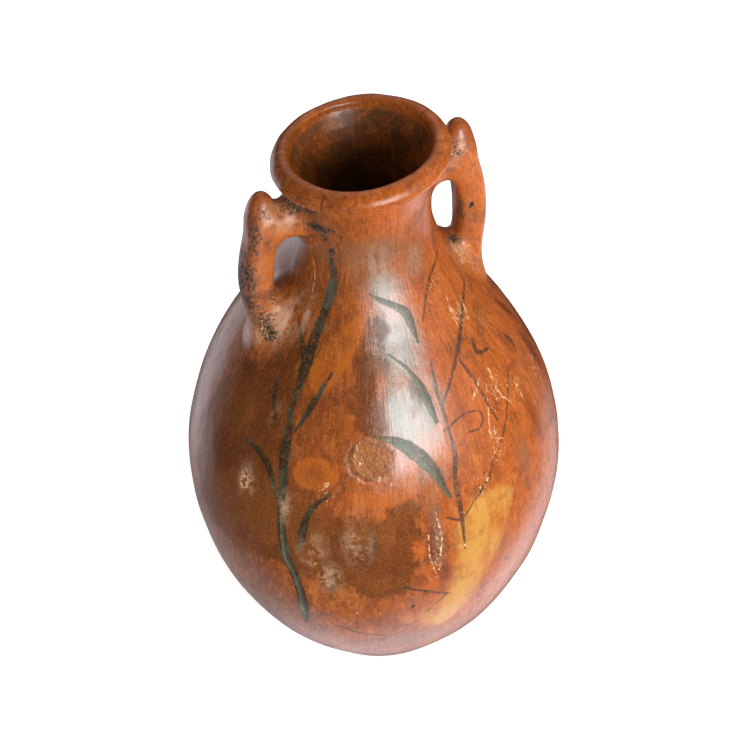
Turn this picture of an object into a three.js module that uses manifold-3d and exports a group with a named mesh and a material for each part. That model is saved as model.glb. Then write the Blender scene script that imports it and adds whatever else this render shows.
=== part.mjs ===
// Two-handled earthenware amphora, hand built: a base slab, four coiled wall sections and a
// rolled lip, with two strap handles and the stump of a lost boss luted onto the outside.
//
// Millimetres, +Z up. The origin is the centre of the flat foot. The handles lie along X, and
// the painted side, with the boss stump, faces -Y.
//
// Every luted seam is kept open by JOINT_GAP, so that each piece of clay is a body of its own.

import * as THREE from 'three';
import { mergeVertices } from 'three/addons/utils/BufferGeometryUtils.js';
import Module from 'manifold-3d';

const wasm = await Module();
wasm.setup();

// ---- Driving dimensions --------------------------------------------------------------------

const JOINT_GAP = 0.3;
const SOCKET_DEPTH = 2;        // how deep a handle or the boss is keyed into the wall
const WALL = 8;                // wall thickness, measured square to the outside
const FLOOR = 10;              // thickness of the base slab
const FACETS = 56;             // around the pot
const ROW_STEP = 12;           // height between two rings of vertices

// Outside of the pot as [height, radius], from the foot to the throat below the lip.
const OUTLINE = [
  [0, 46], [12, 57.5], [24, 67], [61, 92.5], [109, 112], [162, 120],
  [214, 112], [263, 90], [307, 57.5], [344, 41], [372, 40.2], [392, 45.5],
];

// Outside heights of the seams between the wall sections. A seam slopes down towards the inside.
const SEAM_ABOVE_BASE = 9;
const SEAM_BELOW_BELLY = 92;
const SEAM_ABOVE_BELLY = 206;
const SEAM_BELOW_NECK = 312;
const SEAM_BELOW_LIP = 387;
const SEAM_DROP = 6;

// The lip is a roll of clay with an oval section whose top tips in over the mouth.
const LIP_RADIUS = 46.3;       // pot axis to the middle of the roll
const LIP_HEIGHT = 398.8;      // height of the middle of the roll
const LIP_HALF_WIDTH = 4;
const LIP_HALF_HEIGHT = 6.3;
const LIP_TIP = 38;            // degrees from upright

// The neck was pushed over while soft: the lip rises towards +X and drops towards +Y.
const LEAN = { alongX: 0.08, alongY: -0.022, from: 290, to: 375 };

// Each handle is a thick upright strap with a short bridge to the neck and a knob on top.
// Lists are [height, distance from the axis, half depth, half width], from the bottom up.
const HANDLES = [
  {
    name: 'left', side: -1,
    strap: [[276, 64, 6, 7.5], [292, 65.5, 7, 9], [310, 68, 8.5, 10.5],
      [330, 68.6, 9.3, 11.3], [350, 66.5, 9, 11.2], [373, 61.5, 8.8, 10]],
    knob: { top: 392.5, distance: 61.5, halfDepth: 7.8, halfWidth: 8.4 },
    bridge: { under: 361.5, over: 383.5, halfWidth: 10.5, flareDown: 2, flareAside: 5 },
  },
  {
    name: 'right', side: 1,
    strap: [[276, 67.5, 6.3, 7.5], [292, 66.8, 7.2, 8.5], [310, 66.4, 8.2, 9.3],
      [330, 67.8, 8.8, 10], [350, 66.3, 8.8, 10.2], [373, 61, 9.2, 10]],
    knob: { top: 394, distance: 60.5, halfDepth: 8.6, halfWidth: 9 },
    bridge: { under: 360, over: 384, halfWidth: 9.5, flareDown: -2, flareAside: 1 },
  },
];
const STRAP_TOP = 373;
const STRAP_SQUARENESS = 2.6;  // 2 would make the section an oval, more makes it squarer
const BRIDGE_REACH = 62;       // distance of the bridge's outer end from the axis

// A wad of clay pressed round the lower end of each strap, lying along the shoulder.
const LUTE = { height: 304, lean: 35, halfLength: 20, halfWidth: 15, halfThickness: 5 };

// Stump of a round boss on the painted side.
const BOSS = { height: 249, bearing: -113.5, radius: 14, stands: 0.9, chamfer: 0.8 };

// ---- Materials -----------------------------------------------------------------------------

function clay(color, roughness) {
  return new THREE.MeshStandardMaterial({ color, roughness, metalness: 0 });
}

const burnishedSlip = clay(0xa85426, 0.38);
const handleSlip = clay(0xb85e30, 0.48);
const scarredClay = clay(0x9a6440, 0.8);

// ---- Outline of the pot --------------------------------------------------------------------

// Height of a smooth curve over x, through [x, y] stations, with each slope set by the neighbours.
function curveThrough(stations, x) {
  const last = stations.length - 1;
  let i = 0;
  while (i < last - 1 && x > stations[i + 1][0]) i += 1;
  const slopeAt = (k) => {
    const before = stations[Math.max(k - 1, 0)];
    const after = stations[Math.min(k + 1, last)];
    return (after[1] - before[1]) / (after[0] - before[0]);
  };
  const [x0, y0] = stations[i];
  const [x1, y1] = stations[i + 1];
  const span = x1 - x0;
  const t = (x - x0) / span;
  const rise = t * t * (3 - 2 * t);
  const leaving = slopeAt(i) * span * t * (1 - t) * (1 - t);
  const arriving = slopeAt(i + 1) * span * t * t * (t - 1);
  return y0 + (y1 - y0) * rise + leaving + arriving;
}

function outsideRadius(height) {
  return curveThrough(OUTLINE, height);
}

// Point [radius, height] that lies a given depth inside the outer face at a height.
function pointInWall(height, depth) {
  const slope = outsideRadius(height + 0.5) - outsideRadius(height - 0.5);
  const length = Math.hypot(1, slope);
  return new THREE.Vector2(outsideRadius(height) - depth / length, height + (depth * slope) / length);
}

// Heights from one end to the other, on the rings shared by the whole pot.
function rowHeights(low, high) {
  const rows = [low];
  const first = Math.ceil((low + 2) / ROW_STEP);
  for (let k = first; k * ROW_STEP < high - 2; k += 1) rows.push(k * ROW_STEP);
  rows.push(high);
  return rows;
}

function wallFace(low, high, depth) {
  return rowHeights(low, high).map((height) => pointInWall(height, depth));
}

function spin(profile) {
  const closed = [...profile, profile[0].clone()];
  return new THREE.LatheGeometry(closed, FACETS).rotateX(Math.PI / 2);
}

// ---- Solids: joining and cutting -----------------------------------------------------------

function solidOf(geometry) {
  const bare = geometry.clone();
  bare.deleteAttribute('normal');
  bare.deleteAttribute('uv');
  const merged = mergeVertices(bare, 1e-4);
  const corners = merged.index.array;
  const kept = [];
  for (let i = 0; i < corners.length; i += 3) {
    const [a, b, c] = corners.slice(i, i + 3);
    if (a !== b && b !== c && c !== a) kept.push(a, b, c);
  }
  return new wasm.Manifold(new wasm.Mesh({
    numProp: 3,
    vertProperties: new Float32Array(merged.attributes.position.array),
    triVerts: new Uint32Array(kept),
  }));
}

function geometryOf(solid) {
  const mesh = solid.getMesh();
  const geometry = new THREE.BufferGeometry();
  geometry.setAttribute('position', new THREE.BufferAttribute(mesh.vertProperties, 3));
  geometry.setIndex(new THREE.BufferAttribute(mesh.triVerts, 1));
  return geometry;
}

// ---- Body of the pot -----------------------------------------------------------------------

// The pot filled solid, with its outside moved in by a depth (out, when the depth is negative).
function filledPot(depth) {
  const face = wallFace(0, OUTLINE.at(-1)[0], depth);
  const bottom = new THREE.Vector2(0, face[0].y);
  const top = new THREE.Vector2(0, face.at(-1).y);
  return solidOf(spin([bottom, ...face, top]));
}

function baseSlab() {
  const seamInside = pointInWall(SEAM_ABOVE_BASE, WALL);
  return spin([
    new THREE.Vector2(0, 0),
    new THREE.Vector2(OUTLINE[0][1], 0),
    pointInWall(SEAM_ABOVE_BASE, 0),
    new THREE.Vector2(seamInside.x, FLOOR),
    new THREE.Vector2(0, FLOOR),
  ]);
}

// The lowest section stands on the slab, with a cove of clay smoothed into the inside corner.
function lowestSection() {
  const coveWidth = 7;
  const coveHeight = 12;
  const bottom = SEAM_ABOVE_BASE + JOINT_GAP;
  const seamInside = pointInWall(SEAM_ABOVE_BASE, WALL);
  const outside = wallFace(bottom, SEAM_BELOW_BELLY, 0);
  const inside = wallFace(FLOOR + coveHeight, SEAM_BELOW_BELLY - SEAM_DROP, WALL).reverse();
  const toe = new THREE.Vector2(seamInside.x - coveWidth, FLOOR + JOINT_GAP);
  const seam = new THREE.Vector2(seamInside.x, FLOOR + JOINT_GAP);
  return spin([...outside, ...inside, toe, seam]);
}

// A ring of wall between two sloping seams. Half as much again keeps the gap square to the seam.
function wallSection(low, high) {
  const start = low + 1.5 * JOINT_GAP;
  const outside = wallFace(start, high, 0);
  const inside = wallFace(start - SEAM_DROP, high - SEAM_DROP, WALL).reverse();
  return spin([...outside, ...inside]);
}

function lipSection() {
  const start = SEAM_BELOW_LIP + 1.5 * JOINT_GAP;
  const centre = new THREE.Vector2(LIP_RADIUS, LIP_HEIGHT);
  const tip = THREE.MathUtils.degToRad(LIP_TIP);
  const roll = [];
  for (let degrees = -84; degrees <= 132; degrees += 24) {
    const angle = THREE.MathUtils.degToRad(degrees);
    const point = new THREE.Vector2(LIP_HALF_WIDTH * Math.cos(angle), LIP_HALF_HEIGHT * Math.sin(angle));
    roll.push(point.rotateAround(new THREE.Vector2(0, 0), tip).add(centre));
  }
  return spin([pointInWall(start, 0), ...roll, pointInWall(start, WALL), pointInWall(start - SEAM_DROP, WALL)]);
}

// ---- Handles -------------------------------------------------------------------------------

// Solid through flat rings of points, closed at both ends. Each ring is a list of Vector3.
function loft(rings) {
  const count = rings[0].length;
  const positions = rings.flat().flatMap((point) => [point.x, point.y, point.z]);
  const triangles = [];
  for (let r = 0; r < rings.length - 1; r += 1) {
    for (let k = 0; k < count; k += 1) {
      const here = r * count + k;
      const beside = r * count + ((k + 1) % count);
      triangles.push(here, beside, beside + count, here, beside + count, here + count);
    }
  }
  const topRing = (rings.length - 1) * count;
  for (let k = 1; k < count - 1; k += 1) {
    triangles.push(0, k + 1, k);
    triangles.push(topRing, topRing + k, topRing + k + 1);
  }
  const geometry = new THREE.BufferGeometry();
  geometry.setAttribute('position', new THREE.Float32BufferAttribute(positions, 3));
  geometry.setIndex(triangles);
  return geometry;
}

// Rounded-square ring with its middle at centre, spread along two unit directions.
function roundedRing(centre, first, halfFirst, second, halfSecond) {
  const points = [];
  const sides = 20;
  for (let k = 0; k < sides; k += 1) {
    const angle = (2 * Math.PI * k) / sides;
    const soften = (value) => Math.sign(value) * Math.abs(value) ** (2 / STRAP_SQUARENESS);
    points.push(centre.clone()
      .addScaledVector(first, halfFirst * soften(Math.cos(angle)))
      .addScaledVector(second, halfSecond * soften(Math.sin(angle))));
  }
  return points;
}

const OUTWARD = new THREE.Vector3(1, 0, 0);
const SIDEWAYS = new THREE.Vector3(0, 1, 0);
const UPWARD = new THREE.Vector3(0, 0, 1);

// Each piece of a handle is made for the +X side; the left ones are turned round the pot axis.
function placed(geometry, handle) {
  return handle.side < 0 ? geometry.rotateZ(Math.PI) : geometry;
}

function strapSolid(handle, grow) {
  const column = (index) => handle.strap.map((station) => [station[0], station[index]]);
  const rings = [];
  const bottom = handle.strap[0][0];
  const steps = 12;
  for (let i = 0; i <= steps; i += 1) {
    const height = bottom + ((STRAP_TOP - bottom) * i) / steps;
    const centre = new THREE.Vector3(curveThrough(column(1), height), 0, height);
    if (i === steps) centre.z += grow;
    const halfDepth = curveThrough(column(2), height) + grow;
    const halfWidth = curveThrough(column(3), height) + grow;
    rings.push(roundedRing(centre, OUTWARD, halfDepth, SIDEWAYS, halfWidth));
  }
  return solidOf(placed(loft(rings), handle));
}

function knobSolid(handle) {
  const { top, distance, halfDepth, halfWidth } = handle.knob;
  const [, strapDistance, strapHalfDepth, strapHalfWidth] = handle.strap.at(-1);
  const bottom = STRAP_TOP + JOINT_GAP;
  const domeHeight = 9;
  const domeStart = top - domeHeight;
  const rings = [roundedRing(
    new THREE.Vector3(strapDistance, 0, bottom), OUTWARD, strapHalfDepth, SIDEWAYS, strapHalfWidth,
  )];
  const steps = 6;
  for (let i = 0; i < steps; i += 1) {
    const angle = (i / steps) * (Math.PI / 2);
    const shrink = Math.cos(angle);
    const centre = new THREE.Vector3(distance, 0, domeStart + domeHeight * Math.sin(angle));
    rings.push(roundedRing(centre, OUTWARD, halfDepth * shrink, SIDEWAYS, halfWidth * shrink));
  }
  return solidOf(placed(loft(rings), handle));
}

// The bridge is deepest at the neck and, in a rounded corner, where it meets the strap.
function bridgeSolid(handle, grow) {
  const { under, over, halfWidth, flareDown, flareAside } = handle.bridge;
  const neck = outsideRadius(STRAP_TOP);
  const stations = [
    { distance: neck - 4, low: under - 2 * flareDown, high: over + 3, width: halfWidth + flareAside },
    { distance: neck + 2, low: under - flareDown, high: over + 1, width: halfWidth + flareAside / 2 },
    { distance: neck + 7, low: under, high: over - 1, width: halfWidth },
    { distance: neck + 12, low: under, high: over - 1, width: halfWidth - 0.5 },
    { distance: neck + 16, low: under - 2.5, high: over, width: halfWidth - 0.5 },
    { distance: BRIDGE_REACH, low: under - 9, high: over + 2, width: halfWidth - 1 },
  ];
  const rings = stations.map(({ distance, low, high, width }) => roundedRing(
    new THREE.Vector3(distance, 0, (low + high) / 2),
    SIDEWAYS, width + grow, UPWARD, (high - low) / 2 + grow,
  ));
  return solidOf(placed(loft(rings), handle));
}

function luteSolid(handle) {
  const geometry = new THREE.SphereGeometry(1, 20, 10);
  geometry.scale(LUTE.halfThickness, LUTE.halfWidth, LUTE.halfLength);
  geometry.rotateY(-THREE.MathUtils.degToRad(LUTE.lean));
  geometry.translate(outsideRadius(LUTE.height), 0, LUTE.height);
  return solidOf(placed(geometry, handle));
}

// ---- Boss stump ----------------------------------------------------------------------------

// Low disc whose axis is square to the shoulder. It reaches from below the surface to above it.
function bossDisc(grow, below, above) {
  const bearing = THREE.MathUtils.degToRad(BOSS.bearing);
  const surface = pointInWall(BOSS.height, 0);
  const inner = pointInWall(BOSS.height, 1);
  const place = (point) => new THREE.Vector3(
    point.x * Math.cos(bearing), point.x * Math.sin(bearing), point.y,
  );
  const normal = place(surface).sub(place(inner)).normalize();
  const radius = BOSS.radius + grow;
  const disc = spin([
    new THREE.Vector2(0, -below),
    new THREE.Vector2(radius, -below),
    new THREE.Vector2(radius, above - BOSS.chamfer),
    new THREE.Vector2(radius - BOSS.chamfer, above),
    new THREE.Vector2(0, above),
  ]);
  disc.applyQuaternion(new THREE.Quaternion().setFromUnitVectors(UPWARD, normal));
  disc.translate(...place(surface).toArray());
  return solidOf(disc);
}

// ---- Assembly ------------------------------------------------------------------------------

// Tips a point of the pot as the soft neck was tipped. The lower body and the foot stay level.
function leanVertices(geometry) {
  const position = geometry.attributes.position;
  for (let i = 0; i < position.count; i += 1) {
    const share = THREE.MathUtils.smoothstep(position.getZ(i), LEAN.from, LEAN.to);
    const rise = LEAN.alongX * position.getX(i) + LEAN.alongY * position.getY(i);
    position.setZ(i, position.getZ(i) + share * rise);
  }
  geometry.computeVertexNormals();
}

const amphora = new THREE.Group();

function addPiece(name, geometry, material) {
  const piece = new THREE.Mesh(mergeVertices(geometryOf(solidOf(geometry)), 1e-4), material);
  leanVertices(piece.geometry);
  piece.name = name;
  amphora.add(piece);
}

const potToSocketFloor = filledPot(SOCKET_DEPTH);
const potBelowSockets = filledPot(SOCKET_DEPTH + JOINT_GAP);
const potClearance = filledPot(-JOINT_GAP);

// Sockets are cut only as deep as potBelowSockets leaves open.
let sockets = bossDisc(JOINT_GAP, SOCKET_DEPTH + JOINT_GAP, 5);

for (const handle of HANDLES) {
  const strap = strapSolid(handle, 0).subtract(potToSocketFloor);
  const strapClearance = strapSolid(handle, JOINT_GAP);
  const bridge = bridgeSolid(handle, 0).subtract(strapClearance).subtract(potToSocketFloor);
  const bridgeClearance = bridgeSolid(handle, JOINT_GAP);
  const knob = knobSolid(handle).subtract(bridgeClearance);
  const lute = luteSolid(handle).subtract(strapClearance).subtract(potClearance);
  sockets = sockets.add(strapClearance.subtract(potBelowSockets));
  sockets = sockets.add(bridgeClearance.subtract(potBelowSockets));
  addPiece(`handle_strap_${handle.name}`, geometryOf(strap), handleSlip);
  addPiece(`handle_bridge_${handle.name}`, geometryOf(bridge), handleSlip);
  addPiece(`handle_knob_${handle.name}`, geometryOf(knob), handleSlip);
  addPiece(`handle_lute_${handle.name}`, geometryOf(lute), handleSlip);
}

function withSockets(geometry) {
  return geometryOf(solidOf(geometry).subtract(sockets));
}

addPiece('base_slab', baseSlab(), burnishedSlip);
addPiece('lower_wall', lowestSection(), burnishedSlip);
addPiece('belly_wall', wallSection(SEAM_BELOW_BELLY, SEAM_ABOVE_BELLY), burnishedSlip);
addPiece('shoulder_wall', withSockets(wallSection(SEAM_ABOVE_BELLY, SEAM_BELOW_NECK)), burnishedSlip);
addPiece('neck_collar', withSockets(wallSection(SEAM_BELOW_NECK, SEAM_BELOW_LIP)), burnishedSlip);
addPiece('rim_roll', lipSection(), burnishedSlip);
addPiece('boss_stump', geometryOf(bossDisc(0, SOCKET_DEPTH, BOSS.stands)), scarredClay);

export default amphora;
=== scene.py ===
"""Looks of the hand-built, burnished amphora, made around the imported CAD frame.

Shapes are worked out in millimetres in the upright frame of the pot, before its neck was pushed over, and
settle() then leans them and turns them into metres. Azimuth is in degrees from +X towards +Y. The painted
side faces azimuth -112.
"""

import math
from types import SimpleNamespace

import bmesh
import bpy
import numpy as np
from mathutils import Matrix, Vector


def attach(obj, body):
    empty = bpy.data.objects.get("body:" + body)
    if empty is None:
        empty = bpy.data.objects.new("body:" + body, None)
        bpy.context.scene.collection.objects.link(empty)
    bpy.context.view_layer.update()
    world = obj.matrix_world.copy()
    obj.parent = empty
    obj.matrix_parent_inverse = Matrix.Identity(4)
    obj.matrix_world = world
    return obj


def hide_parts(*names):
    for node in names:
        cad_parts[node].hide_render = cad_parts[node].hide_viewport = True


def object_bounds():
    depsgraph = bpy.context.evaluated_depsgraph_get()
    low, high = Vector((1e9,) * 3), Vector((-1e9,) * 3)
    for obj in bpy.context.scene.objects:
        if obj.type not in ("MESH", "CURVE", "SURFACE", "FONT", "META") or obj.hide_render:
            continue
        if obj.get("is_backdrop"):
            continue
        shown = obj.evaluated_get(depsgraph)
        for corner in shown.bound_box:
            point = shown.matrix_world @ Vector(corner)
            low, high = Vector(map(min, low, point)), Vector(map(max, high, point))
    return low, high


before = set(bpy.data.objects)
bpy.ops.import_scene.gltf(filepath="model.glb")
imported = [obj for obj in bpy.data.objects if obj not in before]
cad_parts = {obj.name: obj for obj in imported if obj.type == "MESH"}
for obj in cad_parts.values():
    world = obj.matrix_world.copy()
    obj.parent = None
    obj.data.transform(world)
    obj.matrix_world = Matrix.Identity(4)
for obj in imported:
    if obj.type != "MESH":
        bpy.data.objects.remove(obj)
CAD_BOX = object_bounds()

MM = 0.001

# ---- Sizes of the pot ----

# The outline, walls, seams and lean are the CAD model's. The lip and the handles are close to it, and the
# unevenness is only in the looks.

# Outside of the pot as [height, radius].
OUTLINE = [
    [0, 46], [12, 57.5], [24, 67], [61, 92.5], [109, 112], [162, 120],
    [214, 112], [263, 90], [307, 57.5], [344, 41], [372, 40.2], [392, 45.5],
]
WALL = 8
FLOOR = 10
COVE_WIDTH = 7
COVE_HEIGHT = 12
SEAM_DROP = 6
SEAMS = [9, 92, 206, 312, 387]     # outside heights of the seams between the wall sections
LIP_RADIUS = 46.3
LIP_HEIGHT = 398.8
LIP_HALF_WIDTH = 4.2
LIP_HALF_HEIGHT = 6.4
LIP_TIP = 38
LEAN_ALONG_X = 0.08
LEAN_ALONG_Y = -0.022
LEAN_FROM = 290
LEAN_TO = 375
SAG_HEIGHT, SAG_REACH = 95, 55     # where the lower body sags, and by how much
SAG_ALONG_X, SAG_ALONG_Y = -1.1, 0.45

# Each handle's strap as [height, distance from the axis, half depth, half width], its knob as (height,
# distance from the axis, half depth, half width, half height) and its bridge as [distance from the axis,
# height, half height, half width].
HANDLES = {
    "left": {
        "side": -1,
        "strap": [[262, 66, 3, 4], [276, 66, 6, 7], [292, 66.5, 7.4, 9], [310, 68, 8.7, 10.5],
                  [330, 68.8, 9.4, 11.3], [350, 66.7, 9.2, 11.2], [373, 62, 8.9, 10], [384, 61.5, 8, 8.6]],
        "knob": (377, 61.5, 9, 9.6, 18),
        "bridge": [[34, 371, 16, 12.5], [42, 371.5, 13, 11.5], [50, 371.5, 11, 10.5], [58, 371, 12, 10],
                   [64, 370, 14, 9]],
    },
    "right": {
        "side": 1,
        "strap": [[262, 66, 3, 4], [276, 67.5, 6.3, 7.5], [292, 67, 7.4, 8.7], [310, 66.8, 8.5, 9.4],
                  [330, 68.2, 9.1, 10], [350, 67, 9.1, 10.2], [373, 61.5, 9.3, 10], [384, 60.5, 8, 8.8]],
        "knob": (378, 60.5, 9.4, 10, 18.5),
        "bridge": [[34, 371, 14, 11.5], [42, 371, 12.5, 10.5], [50, 371.5, 12, 9.8], [58, 371, 13, 9.5],
                   [64, 370, 14, 9]],
    },
}
LUTE_HEIGHT = 302
LUTE_LEAN = 35
LUTE_HALVES = (5, 14, 20)          # through the wad, across it and along the shoulder
STRAP_FOOT, STRAP_TOP = 264, 382
BRIDGE_FROM, BRIDGE_TO = 30, 66
LUTE_TOP = 314                     # where the wad, the strap, the knob and the bridge are cut apart
KNOB_BOTTOM = 374.5
BRIDGE_END = 52.5
SUNK = 3                           # how deep the foot of a handle reaches into the wall
POT_FILLET = 8
HANDLE_EDGE = 7.6                  # how far from the handle its fillet ends
SWELLING = (134.0, 319.0, 24, 20, 6.0)   # azimuth, height, reach around and along, and rise
BOSS_AZIMUTH = -113.5
BOSS_HEIGHT = 249
BOSS_RADIUS = 14
RECESS_DEPTH = 1.6
RECESS_EDGE = 17.5
PATCH_RADIUS = 20.5                # of the patch of wall that carries the boss
PATCH_THICKNESS = 2.4

# Unevenness as noises with a height, a size and a seed each.
BROAD_HOLLOWS = [(0.8, 62, 3), (0.4, 27, 5)]
SCRAPING = [(0.16, 9, 7), (0.07, 4.5, 11)]
SCRAPE_STRETCH = 0.3               # draws the scraping out along the height
LIP_LUMPS = [(0.45, 21, 13), (0.16, 8, 17)]
BROKEN_CLAY = [(0.3, 6, 29), (0.34, 2.4, 31), (0.3, 1.1, 37)]

# How finely the meshes are cut.
AROUND = 360                       # columns of vertices round the pot
PATCH_RINGS, PATCH_SPOKES = 46, 150
HANDLE_BOX = ((26, -27, 256), (90, 27, 402))
CELL = 1.15                        # spacing of the samples inside that box


# ---- Curves and noise ----

def columns(*values):
    """Puts values side by side, as the columns of one array."""
    return np.stack(np.broadcast_arrays(*values), axis=-1)


def unit(vectors):
    return vectors / np.maximum(np.linalg.norm(vectors, axis=-1, keepdims=True), 1e-9)


def curve_through(stations, at, column=1):
    """Smooth curve over the first column, with each slope set by the neighbours."""
    table = np.array(stations, float)
    x, y = table[:, 0], table[:, column]
    slope = np.empty(len(x))
    slope[1:-1] = (y[2:] - y[:-2]) / (x[2:] - x[:-2])
    slope[0] = (y[1] - y[0]) / (x[1] - x[0])
    slope[-1] = (y[-1] - y[-2]) / (x[-1] - x[-2])
    at = np.clip(at, x[0], x[-1])
    i = np.clip(np.searchsorted(x, at) - 1, 0, len(x) - 2)
    span = x[i + 1] - x[i]
    t = (at - x[i]) / span
    rise = t * t * (3 - 2 * t)
    leaving = slope[i] * span * t * (1 - t) ** 2
    arriving = slope[i + 1] * span * t * t * (t - 1)
    return y[i] + (y[i + 1] - y[i]) * rise + leaving + arriving


def smooth_rows(table, places):
    """Every column of a table as a smooth curve over the row numbers."""
    order = np.arange(len(table), dtype=float)
    return columns(*(curve_through(columns(order, column), places) for column in table.T))


def length_along(points):
    return np.concatenate([[0], np.cumsum(np.linalg.norm(np.diff(points, axis=0), axis=1))])


def evenly(rows, length, count):
    """Rows of numbers at equal steps of the length measured along them."""
    places = np.linspace(0, length[-1], count)
    return columns(*(np.interp(places, length, column) for column in rows.T))


def smooth_step(value, low, high):
    t = np.clip((value - low) / (high - low), 0, 1)
    return t * t * (3 - 2 * t)


def lattice_value(ix, iy, iz, seed):
    """Repeatable value from 0 to 1 for each whole-number point."""
    mixed = (ix * 374761393 + iy * 668265263 + iz * 362437 + seed * 974711) & 0x7FFFFFFF
    mixed = ((mixed ^ (mixed >> 13)) * 1274126177) & 0x7FFFFFFF
    return ((mixed ^ (mixed >> 16)) & 0xFFFF) / 65535


def soft_noise(points, size, seed):
    """Smooth noise from -1 to 1, with features of about the given size."""
    scaled = points / size
    cell = np.floor(scaled).astype(np.int64)
    t = scaled - cell
    t = t * t * (3 - 2 * t)
    total = np.zeros(len(points))
    for corner in np.ndindex(2, 2, 2):
        near_x, near_y, near_z = np.abs(1 - np.array(corner) - t).T
        total += near_x * near_y * near_z * lattice_value(*(cell + corner).T, seed)
    return 2 * total - 1


def layered_noise(points, layers):
    """Noises on top of each other, each with its height, size and seed."""
    return sum(height * soft_noise(points, size, seed) for height, size, seed in layers)


def smooth_union(a, b, radius):
    """Union of two distance fields with a fillet of the given size."""
    h = np.clip(0.5 + 0.5 * (b - a) / radius, 0, 1)
    return b + (a - b) * h - radius * h * (1 - h)


def smooth_cut(a, b, radius):
    """What is inside both fields, with the edge between them rounded."""
    return -smooth_union(-a, -b, radius)


def round_lump(a, b, c, halves):
    """Distance outside an ellipsoid."""
    size = np.sqrt(sum((value / half) ** 2 for value, half in zip((a, b, c), halves)))
    steepness = np.sqrt(sum((value / half ** 2) ** 2 for value, half in zip((a, b, c), halves)))
    return size * (size - 1) / np.maximum(steepness, 1e-6)


def around_axis(radius, angle, height):
    """Points at a radius and an angle round the pot's axis."""
    return columns(radius * np.cos(angle), radius * np.sin(angle), height)


def outside_radius(height):
    return curve_through(OUTLINE, height)


def outside_slope(height):
    """How much the radius grows with each millimetre of height."""
    return outside_radius(height + 0.5) - outside_radius(height - 0.5)


def wall_point(height, depth):
    """Radius and height of points a given depth inside the outer face."""
    slope = outside_slope(height)
    length = np.hypot(1, slope)
    return columns(outside_radius(height) - depth / length, height + depth * slope / length)


def on_pot(azimuth, height):
    """Points on the pot's outside, before it leans."""
    return around_axis(outside_radius(height), np.radians(azimuth), height)


BOSS_CENTRE = on_pot(BOSS_AZIMUTH, BOSS_HEIGHT)


def hand_marks(points):
    """How far the potter's hands left the outside above or below its outline."""
    broad = layered_noise(points, BROAD_HOLLOWS)
    strokes = layered_noise(points * (1, 1, SCRAPE_STRETCH), SCRAPING)
    steady = smooth_step(points[:, 2], 2, 30)
    return (broad + strokes) * steady + swelling(points)


def swelling(points):
    """Thicker clay smeared out behind the left handle, at the side of the neck."""
    azimuth, height, around, along, rise = SWELLING
    offset = points - on_pot(azimuth, height)
    flat_distance = np.hypot(offset[:, 0], offset[:, 1])
    return rise * np.exp(-(flat_distance / around) ** 2 - (offset[:, 2] / along) ** 2)


def wall_marks(points):
    """Hand marks, less the recess under the patch that carries the boss."""
    distance = np.linalg.norm(points - BOSS_CENTRE, axis=1)
    return hand_marks(points) - RECESS_DEPTH * (1 - smooth_step(distance, RECESS_EDGE - 2, RECESS_EDGE))


def lip_marks(points):
    """The lip is thicker in some places than in others."""
    return hand_marks(points) + layered_noise(points, LIP_LUMPS) * smooth_step(points[:, 2], 386, 396)


def settle(points):
    """Leans the neck, lets the lower body sag a little to one side, and turns millimetres into metres."""
    x, y, z = points.T
    lean = smooth_step(z, LEAN_FROM, LEAN_TO) * (LEAN_ALONG_X * x + LEAN_ALONG_Y * y)
    sag = np.exp(-((z - SAG_HEIGHT) / SAG_REACH) ** 2) * smooth_step(z, 0, 40)
    return columns(x + SAG_ALONG_X * sag, y + SAG_ALONG_Y * sag, z + lean) * MM


def settle_normals(points, normals):
    """Normals of the leaned shape from those of the upright one."""
    x, y, z = points.T
    share = smooth_step(z, LEAN_FROM, LEAN_TO)
    steeper = smooth_step(z + 0.5, LEAN_FROM, LEAN_TO) - smooth_step(z - 0.5, LEAN_FROM, LEAN_TO)
    rise = LEAN_ALONG_X * x + LEAN_ALONG_Y * y
    gradient = columns(share * LEAN_ALONG_X, share * LEAN_ALONG_Y, steeper * rise)
    return unit(normals - gradient * (normals[:, 2] / (1 + gradient[:, 2]))[:, None])


# ---- Section of the pot ----

def fine_line(corners, step):
    """A line through corners, cut into equal steps."""
    corners = np.asarray(corners, float)
    along = length_along(corners)
    return evenly(corners, along, max(2, round(along[-1] / step) + 1))


def lip_line():
    """The lip's oval from under its outside, over the top, to the inner wall, and on down to the seam."""
    angles = np.radians(np.arange(-100, 145, 5))
    tip = math.radians(LIP_TIP)
    across, up = LIP_HALF_WIDTH * np.cos(angles), LIP_HALF_HEIGHT * np.sin(angles)
    roll = columns(LIP_RADIUS + across * math.cos(tip) - up * math.sin(tip),
                   LIP_HEIGHT + across * math.sin(tip) + up * math.cos(tip))
    outer = wall_point(np.arange(SEAMS[-1], OUTLINE[-1][0], 0.5), 0)
    outer = outer[outer[:, 0] < roll[0, 0] + 0.6]
    inner = wall_point(np.arange(SEAMS[-1] + 1, SEAMS[-1] - SEAM_DROP - 0.1, -0.5), WALL)
    line = fine_line(np.concatenate([outer, roll, inner]), 0.5)
    padded = np.pad(line, ((12, 12), (0, 0)), mode="edge")
    kernel = np.hanning(11)
    kernel /= kernel.sum()
    softened = columns(*(np.convolve(column, kernel, "same") for column in padded.T))[12:-12]
    from_end = np.minimum(np.arange(len(line)), np.arange(len(line))[::-1])
    share = np.clip(from_end / 8, 0, 1)[:, None]
    return fine_line(line * (1 - share) + softened * share, 1.1)


def wall_rows(low, high, depth, step):
    """A line up the wall at a depth inside its outer face."""
    count = max(2, round((high - low) / step) + 1)
    return fine_line(wall_point(np.linspace(low, high, 8 * count), depth), step)


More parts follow.
